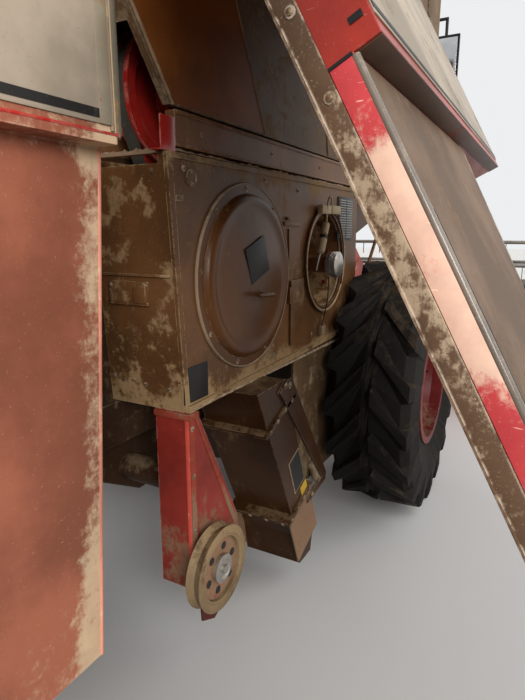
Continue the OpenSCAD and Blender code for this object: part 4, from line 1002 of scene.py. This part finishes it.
def door_edge_highlight(tree, amount=0.46):
    """A painted highlight on the turned-out door's edge, strongest in its middle."""
    axes = place_axes(tree)
    turned_out = share(tree, axes["Y"], -1.27, -1.34)
    middle = times(tree, share(tree, axes["Z"], 1.86, 1.63), share(tree, axes["Z"], 1.27, 1.50))
    return times(tree, times(tree, middle, turned_out), amount)


# The painted highlight pales the flange beside the edge too, but less, so that its speckle still shows
flange_dust_and_highlight = worn_paint("door_flange", (0.105, 0.060, 0.034), (0.46, 0.35, 0.235), 0.42, 0.5, 34.0,
                         0.05, (0.62, 0.50, 0.38), more_dust=partial(door_edge_highlight, amount=0.46 * 0.42))
# The edge's pale middle is a painted highlight, drawn in the dust colour by the mask
door_edge = in_red("door_edge_red", (0.56, 0.060, 0.065), (0.88, 0.63, 0.47), 0.20, 0.35, 3.0,
                   more_dust=door_edge_highlight)
# The outer skin is red paint, painted brown-grey here as the reflection and shade it shows when seen
# edge-on
skin_painted_reflection = in_red("door_skin", (0.175, 0.116, 0.078), (0.23, 0.160, 0.112), 0.34, 0.5, 8.0,
                    shine=0.05)
# The lip's pale beige is a painted highlight along its rounded edge
lip_painted_highlight = in_steel("door_lip", (0.17, 0.135, 0.105), (0.36, 0.29, 0.22), 0.40, 0.25, 6.0, 0.25,
                     (0.42, 0.36, 0.29), coat=0.4)
# The band's underside is dark brown as painted shade under its overhang, with red patches
underside_painted_shade = worn_paint("band_underside_painted_shade", (0.085, 0.048, 0.031), (0.33, 0.034, 0.028), 0.42, 0.45, 3.5,
                    0.1)
print("paints", len(bpy.data.materials))

# %% [markdown]
# A door is a pressed skin with a folded flange, ribs inside and a latch. Its pieces are made as if
# it were closed, and the whole set is then turned about the hinge for the right door or mirrored
# for the closed left one.


# %% Side doors
def door_pieces(side, fit, skin_paint):
    how = {"side": side, "fit": fit, "body": f"side_door_{side}"}
    piece, bar = partial(make, **how), partial(rod, **how)
    piece("door_flange", flange_dust_and_highlight,
          (block, (DOOR_BACK - 0.005, -1.209, DOOR_LOW + 0.004), (DOOR_BACK, -1.1705, 2.655), 0.0015),
          (block, (DOOR_BACK - 0.007, -1.1745, DOOR_LOW + 0.004),
           (DOOR_BACK + 0.02, -1.1695, 2.655), 0.0015))
    piece("door_bolts", screw_brown,
          *[(bolt, (DOOR_BACK - 0.005, -1.196, 2.540 - step * 0.1385), BACK, 0.006)
            for step in range(7)])
    piece("door_edge", door_edge, (block, (DOOR_BACK - 0.003, -1.247, DOOR_LOW + 0.002),
                                   (DOOR_BACK, -1.210, BAND_LOW - 0.004), 0.001))
    piece("door_crack", hose,
          (block, (DOOR_BACK - 0.0045, -1.249, BAND_LOW - 0.004),
           (DOOR_BACK, -1.210, BAND_LOW + 0.001)),
          (block, (DOOR_BACK - 0.002, -1.283, 1.778), (DOOR_BACK, -1.262, 1.788)))
    # The lip and the skin's front edge carry the pale beige of a painted highlight
    bar("door_lip", lip_painted_highlight, 0.0075, (DOOR_BACK + 0.004, -1.2505, 1.741),
        (DOOR_BACK + 0.004, -1.2505, DOOR_LOW + 0.022))
    bar("door_skin_edge", lip_painted_highlight, 0.0030, (-1.428, -1.2525, 1.738),
        (-1.669, -1.2525, DOOR_LOW + 0.022))
    # A thin wavy dark line in the lower part of the edge
    bar("door_sealant", hose, 0.0022, *[(DOOR_BACK + 0.020 + 0.002 * math.sin(step * 1.9), -1.2545,
                                         1.50 - step * 0.045) for step in range(16)], bend=True)
    piece("door_skin", skin_paint, (plate, [
        (DOOR_BACK + 0.012, DOOR_LOW + 0.009), (-1.673, DOOR_LOW + 0.009), (-1.428, 1.741),
        (DOOR_BACK + 0.012, 1.741)], -1.2535, -1.2503))
    piece("door_band", white, (block, (DOOR_BACK + 0.004, BAND_Y - 0.003, BAND_LOW + 0.028),
                               (DOOR_FRONT - 0.004, BAND_Y, DOOR_TOP - 0.004), 0.001))
    piece("door_stripe", black, (block, (DOOR_BACK + 0.004, BAND_Y - 0.004, LINE_LOW),
                                 (DOOR_FRONT - 0.004, BAND_Y - 0.003, LINE_TOP)))
    piece("door_band_under", underside_painted_shade, (block, (DOOR_BACK + 0.006, BAND_Y + 0.001, BAND_LOW - 0.002),
                                      (DOOR_FRONT - 0.004, -1.2545, BAND_LOW), 0.0005))
    piece("door_ribs", red,
          *[(block, (-2.285, -1.2435, z), (-1.83, -1.215, z + 0.045), 0.004)
            for z in (0.98, 1.24, 1.50)],
          *[(block, (x, -1.2435, 1.80), (x + 0.045, -1.215, 2.56), 0.004)
            for x in (-1.95, -1.55, -1.15)])
    piece("door_latch", steel,
          (turned, (-2.20, -1.2535, 1.18), OUT, [(0, 0), (0.030, 0), (0.030, 0.004), (0.024, 0.007),
                                                 (0.020, 0.003), (0, 0.003)], 28),
          (block, (-2.225, -1.2645, 1.172), (-2.175, -1.2535, 1.188), 0.003))


# The propped right door's skin takes the painted reflection and shade, and the closed left door's skin
# is plain red
door_pieces("right", SWING, skin_painted_reflection)
door_pieces("left", MIRROR, red)
print("side doors dressed")

# %% [markdown]
# The wheels get what a mechanic would look for: nuts in a circle on each disc, a domed cap over the
# axle's end, and a valve. They ride on the wheel's body, so that they turn with it.

# %% Wheel fittings
FACE, DISC, HAND_HOLES = 0.045, 0.0282, 10
# Along, across and up, then the nuts' circle, count and size, and the radius of the tyre's seat
FRONT_WHEEL = (0.0, 1.215, 0.725, 0.094, 8, 0.014, 0.330)
REAR_WHEEL = (-3.450, 1.080, 0.430, 0.058, 6, 0.010, 0.203)


def wheel_pieces(body, out, x, y, z, ring, count, nut, seat):
    y, axis, radius = out * y, (0, out, 0), ring * 0.55
    piece = partial(make, body=body)
    piece(f"{body}_nuts", steel, *[(bolt, spot, axis, nut)
                                   for spot in circle(x, y + out * FACE, z, ring, count)])
    piece(f"{body}_cap", red, (turned, (x, y + out * FACE, z), axis, [
        (0, 0), (radius, 0), (radius, 0.020), (radius * 0.8, 0.034), (radius * 0.4, 0.040),
        (0, 0.041)], 32))
    reach = (seat - 0.06 + ring) / 2 + 0.01
    holes = circle(x, y + out * DISC, z, reach, HAND_HOLES, 180 / HAND_HOLES)
    piece(f"{body}_hand_holes", hose, *[(turned, spot, axis, disc(seat * 0.06, 0, 0.001), 20)
                                        for spot in holes])
    rod(f"{body}_valve", hose, 0.005, (x + seat - 0.035, y + out * 0.060, z),
        (x + seat - 0.040, y + out * 0.110, z), body=body)


for side, out in (("right", -1), ("left", 1)):
    wheel_pieces(f"front_wheel_{side}", out, *FRONT_WHEEL)
    wheel_pieces(f"rear_wheel_{side}", out, *REAR_WHEEL)
print("wheels dressed")

# %% [markdown]
# The cab is a glazed box. Black rubber holds each pane, so a thin bar runs round every window. The
# door is made anew as a painted frame and a separate pane, because the pane is glass: two rectangles
# are bridged to a flat frame, which is extruded and closed by a second bridge.

# %% Cab windows and door
DOOR_SILL = 2.030
SEALS = {"seal_right": [(0.485, -0.722, 2.405), (1.585, -0.722, 2.405), (1.585, -0.722, 3.185),
                        (0.485, -0.722, 3.185)],
         "seal_rear": [(0.338, -0.635, 2.755), (0.338, 0.635, 2.755), (0.338, 0.635, 3.185),
                       (0.338, -0.635, 3.185)],
         "seal_front": [(1.741, -0.655, 2.405), (1.741, 0.655, 2.405), (1.708, 0.655, 3.195),
                        (1.708, -0.655, 3.195)],
         "seal_door": [(0.575, 0.762, 2.285), (1.365, 0.762, 2.285), (1.365, 0.762, 3.115),
                       (0.575, 0.762, 3.115)]}
for name, corners in SEALS.items():
    rod(name, black, 0.011, *corners, corners[0],
        body="cab_entry" if name == "seal_door" else "machine")


def frame_ring(mesh, outer, inner, low, high):
    """A flat frame between two rectangles in X and Z, extruded across."""
    loops = []
    for (x0, z0), (x1, z1) in (outer, inner):
        ring = [mesh.verts.new(at(x, low, z)) for x, z in ((x0, z0), (x1, z0), (x1, z1), (x0, z1))]
        loops += [mesh.edges.new(pair) for pair in zip(ring, ring[1:] + ring[:1])]
    flat = bmesh.ops.bridge_loops(mesh, edges=loops)["faces"]
    raised(mesh, bmesh.ops.extrude_face_region(mesh, geom=flat), (0, high - low, 0))
    bmesh.ops.bridge_loops(mesh, edges=[edge for edge in mesh.edges if edge.is_boundary])


door_piece = partial(make, body="cab_entry")
KNUCKLES = [part for z in (DOOR_SILL + 0.181, DOOR_SILL + 1.031) for part in (
    (turned, (0.495, 0.748, z), UP, washer(0.0070, 0.012, 0, 0.06), 24),
    (block, (0.506, 0.742, z), (0.5105, 0.754, z + 0.06)))]
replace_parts(door_piece("cab_door_leaf", red, (
    frame_ring, ((0.510, DOOR_SILL), (1.430, DOOR_SILL + 1.150)),
    ((0.570, DOOR_SILL + 0.250), (1.370, DOOR_SILL + 1.090)), 0.7203, 0.760), *KNUCKLES), "cab_door")
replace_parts(door_piece("cab_door_pane", glass, (
    block, (0.5705, 0.735, DOOR_SILL + 0.2505), (1.3695, 0.741, DOOR_SILL + 1.0895))), "cab_door")
door_piece("cab_door_handle", black, (block, (1.375, 0.760, 2.42), (1.402, 0.792, 2.56), 0.008),
           (turned, (1.388, 0.760, 2.38), INWARD, [(0, 0), (0.017, 0), (0.017, 0.010), (0, 0.012)], 20))
rod("wiper_arm", black, 0.006, (1.748, 0.0, 3.170), (1.760, 0.10, 2.90), (1.760, 0.16, 2.62))
rod("wiper_blade", hose, 0.007, (1.752, 0.02, 2.78), (1.756, 0.30, 2.46))
print("cab windows sealed")

# %% [markdown]
# The driver's seat is stuffed vinyl. Each cushion is a bevelled block that is subdivided and
# swollen towards the middle of its faces. The steering wheel is a turned ring on a column.

# %% Driver's station
seat_cloth = in_black("seat_vinyl", (0.030, 0.028, 0.026), (0.14, 0.11, 0.08), 0.3, 0.5, 12.0)
STEER_X, STUFFED = 1.35, 0.8


def cushion(mesh, low, high):
    block(mesh, low, high, 0.030)
    centre = at(*((Vector(low) + Vector(high)) / 2))
    bmesh.ops.subdivide_edges(mesh, edges=mesh.edges, cuts=2, use_grid_fill=True)
    for vert in mesh.verts:
        away = vert.co - centre
        swell = 1 - min(1, (away.x / 0.24) ** 2) * 0.5 - min(1, (away.y / 0.27) ** 2) * 0.5
        vert.co += away.normalized() * 0.012 * swell


def spoke(mesh, degrees):
    turn = Matrix.Translation(at(STEER_X, 0, 2.545)) @ Matrix.Rotation(math.radians(degrees), 4, "Z")
    bmesh.ops.create_cube(mesh, size=1, matrix=turn @ Matrix.Translation((0.10, 0, 0)) @
                          Matrix.Diagonal((0.20, 0.022, 0.008, 1)))


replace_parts(make("station_frame", black, (block, (0.62, -0.22, 2.052), (0.98, 0.22, 2.32), 0.02),
                 (block, (0.575, -0.20, 2.32), (0.605, 0.20, 2.95), 0.01),
                 (turned, (STEER_X, 0, 2.052), UP, [(0, 0), (0.080, 0), (0.060, 0.05), (0.032, 0.10),
                                                    (0.028, 0.49), (0, 0.49)], 28),
                 (block, (1.30, -0.13, 2.40), (1.40, 0.13, 2.47), 0.015),
                 (block, (0.62, -0.58, 2.052), (1.20, -0.34, 2.50), 0.03)), "driver_station")
make("steering_wheel", black, (turned, (STEER_X, 0, 2.555), UP, [
    (0.190, 0), (0.200, 0.010), (0.210, 0), (0.200, -0.010), (0.190, 0)], 48),
     *[(spoke, degrees) for degrees in (30, 150, 270)], sharp=60)
for name, low, high in (("seat_cushion", (0.635, -0.235, 2.322), (1.000, 0.235, 2.415)),
                        ("seat_back", (0.606, -0.230, 2.430), (0.680, 0.230, 2.980))):
    make(name, seat_cloth, (cushion, low, high), sharp=80)
make("station_levers", black, *[(turned, (0.80 + 0.08 * count, -0.46, 2.50), (0.1 * count, 0, 1), [
    (0, 0), (0.006, 0), (0.006, 0.15), (0.016, 0.16), (0.018, 0.18), (0.010, 0.195), (0, 0.197)], 14)
                                for count in range(3)])
print("cab dressed")

# %% [markdown]
# Lamps are dark boxes with a moulded lens let into the front. Mirrors have a bright face in a thin
# case. Rear lamps and a blank plate finish the straw hood's back.

# %% Lamps and mirrors
TAIL_LAMPS_Y = (-0.61, 0.49)
make("lamp_lenses", lens, *[(block, (1.868, y + 0.012, 3.280), (1.8755, y + 0.108, 3.330), 0.004)
                            for y in (-0.74, -0.54, 0.42, 0.62)])
make("mirror_faces", chrome, *[(block, (1.7335, near, 2.870), (1.7355, near + 0.17, 3.150), 0.0008)
                               for near in (-1.105, 0.935)])
for name, paint, low, high in (("tail_lamp_lenses", red_lens, 1.56, 1.66),
                               ("turn_lamp_lenses", amber, 1.665, 1.715)):
    make(name, paint, *[(block, (-4.562, y, low), (-4.549, y + 0.12, high), 0.005)
                        for y in TAIL_LAMPS_Y])
make("rear_blank_plate", white, (block, (-4.555, -0.13, 1.58), (-4.5495, 0.13, 1.69), 0.001))
print("lamps and mirrors dressed")

# %% [markdown]
# The platform has bars welded on for grip, and each rung of the ladder a row of raised teeth. The
# straw hood and the engine cover are stiffened by swages, which are shallow pressed ribs.

# %% Platform, hood and engine cover
GRIP_X = [0.48 + step * 0.115 for step in range(11)]
TEETH = [(0.95 + step * 0.045, 0.670 + rung * 0.300) for rung in range(5) for step in range(8)]
LOUVRES = [(y, 2.20 + step * 0.07) for y in (-0.646, 0.638) for step in range(7)]
SCREEN_SIDES = ((-0.6855, OUT), (0.6855, INWARD))
make("platform_grip", steel,
     *[(block, (x, 0.78, 2.0095), (x + 0.016, 1.22, 2.0145), 0.001) for x in GRIP_X],
     *[(block, (x, 1.255, z - 0.0005), (x + 0.015, 1.285, z + 0.006)) for x, z in TEETH])
make("hood_swages", red,
     *[(block, (x, -0.60, 2.0585), (x + 0.05, 0.60, 2.0655), 0.003) for x in (-2.30, -2.85, -3.40)],
     *[(block, (-4.5565, y - 0.02, 1.38), (-4.5485, y + 0.02, 1.54), 0.003)
       for y in (-0.45, -0.15, 0.15, 0.45)],
     (block, (-4.5575, -0.63, 1.345), (-4.5485, 0.63, 1.362), 0.003))
make("engine_cover_louvres", red,
     *[(block, (low, y, z), (high, y + 0.008, z + 0.035), 0.003)
       for y, z in LOUVRES for low, high in ((-3.62, -3.46), (-2.72, -2.53))],
     *[(block, (-3.36 + step * 0.09, -0.45, 2.899), (-3.315 + step * 0.09, 0.20, 2.906), 0.003)
       for step in range(9)],
     (block, (-3.69, -0.642, 2.066), (-2.49, -0.6385, 2.10), 0.001),
     (block, (-3.69, 0.6385, 2.066), (-2.49, 0.642, 2.10), 0.001))
make("screen_rings", black, *[part for y, axis in SCREEN_SIDES for part in (
    (turned, (-3.10, y, 2.48), axis, [(0.262, -0.002), (0.300, -0.002), (0.303, 0.004), (0.280, 0.008),
                                      (0.262, 0.004), (0.262, -0.002)], 64),
    (turned, (-3.10, y, 2.48), axis, [(0, -0.028), (0.045, -0.028), (0.045, 0.004), (0.030, 0.010),
                                      (0, 0.011)], 32))])
make("exhaust_bands", steel,
     (turned, (-3.22, 0.38, 2.900), UP, [(0.0755, 0.0), (0.080, 0.004), (0.080, 0.016),
                                         (0.0755, 0.020), (0.0755, 0.0)]),
     (turned, (-3.22, 0.38, 3.060), UP, [(0.0755, 0.0), (0.080, 0.004), (0.080, 0.014),
                                         (0.0755, 0.018), (0.0755, 0.0)]),
     (turned, (-3.22, 0.38, 3.306), (-0.25, 0, 1), [(0, 0.004), (0.043, 0.004), (0.044, 0.007),
                                                    (0.030, 0.011), (0, 0.012)], 28))
print("hood and engine cover dressed")

# %% [markdown]
# The unloading tube is rolled from sheet in lengths, so flanges cross it. Its mouth is a short
# spout with a rubber skirt. They ride with the tube when it swings out.

# %% Unloading tube
TUBE_Y, ELBOW_X = 1.42, -0.155
make("unloader_flanges", red,
     *[(turned, (x, TUBE_Y, 3.05), AHEAD, [(0.139, -0.010), (0.158, -0.010), (0.160, 0), (0.158, 0.010),
                                           (0.139, 0.010), (0.139, -0.010)], 48)
       for x in (-0.75, -1.95, -3.15, -4.30)],
     (turned, (ELBOW_X, TUBE_Y, 2.884), UP, washer(0.149, 0.166, 0, 0.016), 48),
     (turned, (ELBOW_X, TUBE_Y, 3.180), UP, [(0, 0.001), (0.146, 0.001), (0.140, 0.010),
                                             (0, 0.016)], 48), body="unloader")
make("unloader_skirt", hose, (turned, (-4.20, TUBE_Y, 2.918), (0, 0, -1), [
    (0.100, -0.040), (0.104, -0.040), (0.112, 0.110), (0.108, 0.110), (0.100, -0.040)]),
     body="unloader")
print("unloading tube dressed")

# %% [markdown]
# The header's knife runs between pointed guards, one beside each section. The sheet behind the
# auger is stiffened by upright ribs, the ends carry divider bars, and the auger has fingers.

# %% Header
AUGER_X, AUGER_Z, FINGER_ROOT = 2.40, 0.43, 0.15


def guard(mesh, y):
    tip = Matrix.Translation(at(3.145, y, 0.128)) @ Matrix.Rotation(math.pi / 2, 4, "Y")
    bmesh.ops.create_cone(mesh, cap_ends=True, segments=8, radius1=0.014, radius2=0.003,
                          depth=0.170, matrix=tip)
    block(mesh, (3.04, y - 0.017, 0.1505), (3.10, y + 0.017, 0.160), 0.003)


def finger(mesh, step, turn):
    angle = math.radians(turn * 120 + step * 25)
    out, up = math.cos(angle), math.sin(angle)
    turned(mesh, (AUGER_X + FINGER_ROOT * out, step * 0.10, AUGER_Z + FINGER_ROOT * up), (out, 0, up),
           [(0, -0.004), (0.009, -0.004), (0.008, 0.075), (0, 0.077)], 8)


header_piece = partial(make, body="feeder")
header_piece("knife_guards", steel, *[(guard, step * 0.152 + 0.076) for step in range(-14, 14)])
header_piece("header_ribs", red,
             *[(block, (2.032, y - 0.025, 0.12), (2.0595, y + 0.025, 0.86), 0.006)
               for y in (-2.0, -1.5, -1.0, 1.0, 1.5, 2.0)],
             (block, (2.020, -2.09, 0.868), (2.110, 2.09, 0.9085), 0.006))
for side, y in (("right", -2.13), ("left", 2.13)):
    rod("divider_bar", steel, 0.012, (3.00, y, 0.524), (3.35, y, 0.330), (3.69, y, 0.165),
        side=side, body="feeder")
make("auger_fingers", steel, *[(finger, step, turn) for step in range(-4, 5) for turn in range(3)],
     body="auger")
make("reel_end_plates", red, *[(turned, (2.96, y, 1.08), INWARD, washer(0.060, 0.190, 0, 0.004), 6)
                               for y in (-2.058, 2.054)], body="reel_rotor")
print("header dressed")

# %% [markdown]
# The feeder house carries a chain cover on its side. On the left flank the pulleys have bright worn
# rims and capped hubs, and the final drives' cases are closed by rings of bolts.

# %% Feeder house, axle and left drives
FEEDER_BOLTS = ((1.15, 1.32), (1.45, 1.18), (1.75, 0.98), (1.97, 0.80), (1.60, 0.99))
PULLEYS = [(-1.300, 1.500, 0.260, 0.710), (-0.500, 1.450, 0.200, 0.710), (-2.100, 1.300, 0.160, 0.710),
           (-1.650, 1.740, 0.090, 0.710), (-0.060, 1.700, 0.120, 0.800), (-2.100, 1.700, 0.100, 0.800)]


def pulley_face(mesh, x, z, radius, y):
    turned(mesh, (x, y, z), INWARD, [(radius - 0.010, -0.001), (radius, -0.001), (radius, 0.002),
                                     (radius - 0.006, 0.0035), (radius - 0.010, -0.001)], 56)
    turned(mesh, (x, y + 0.010, z), INWARD, [(0, -0.001), (0.034, -0.001), (0.030, 0.014),
                                             (0, 0.016)], 20)


header_piece("feeder_side_covers", red, *[
    (plate, [(1.14, 1.36), (1.22, 1.40), (2.00, 0.86), (2.00, 0.70), (1.10, 1.22)], y, y + 0.0035)
    for y in (-0.5235, 0.5200)])
header_piece("feeder_bolts", steel, *[(bolt, (x, y, z), axis, 0.008)
                                      for y, axis in ((-0.5235, OUT), (0.5235, INWARD))
                                      for x, z in FEEDER_BOLTS])
make("final_drive_bolts", steel, *[(bolt, spot, axis, 0.010)
                                   for y, axis in ((-0.9555, OUT), (0.9555, INWARD))
                                   for spot in circle(0, y, 0.725, 0.175, 10)])
make("left_pulley_rims", steel, *[(pulley_face, *row) for row in PULLEYS])
print("feeder house and drives dressed")

# %% The end
low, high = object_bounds()
print("visual box", tuple(low), tuple(high))
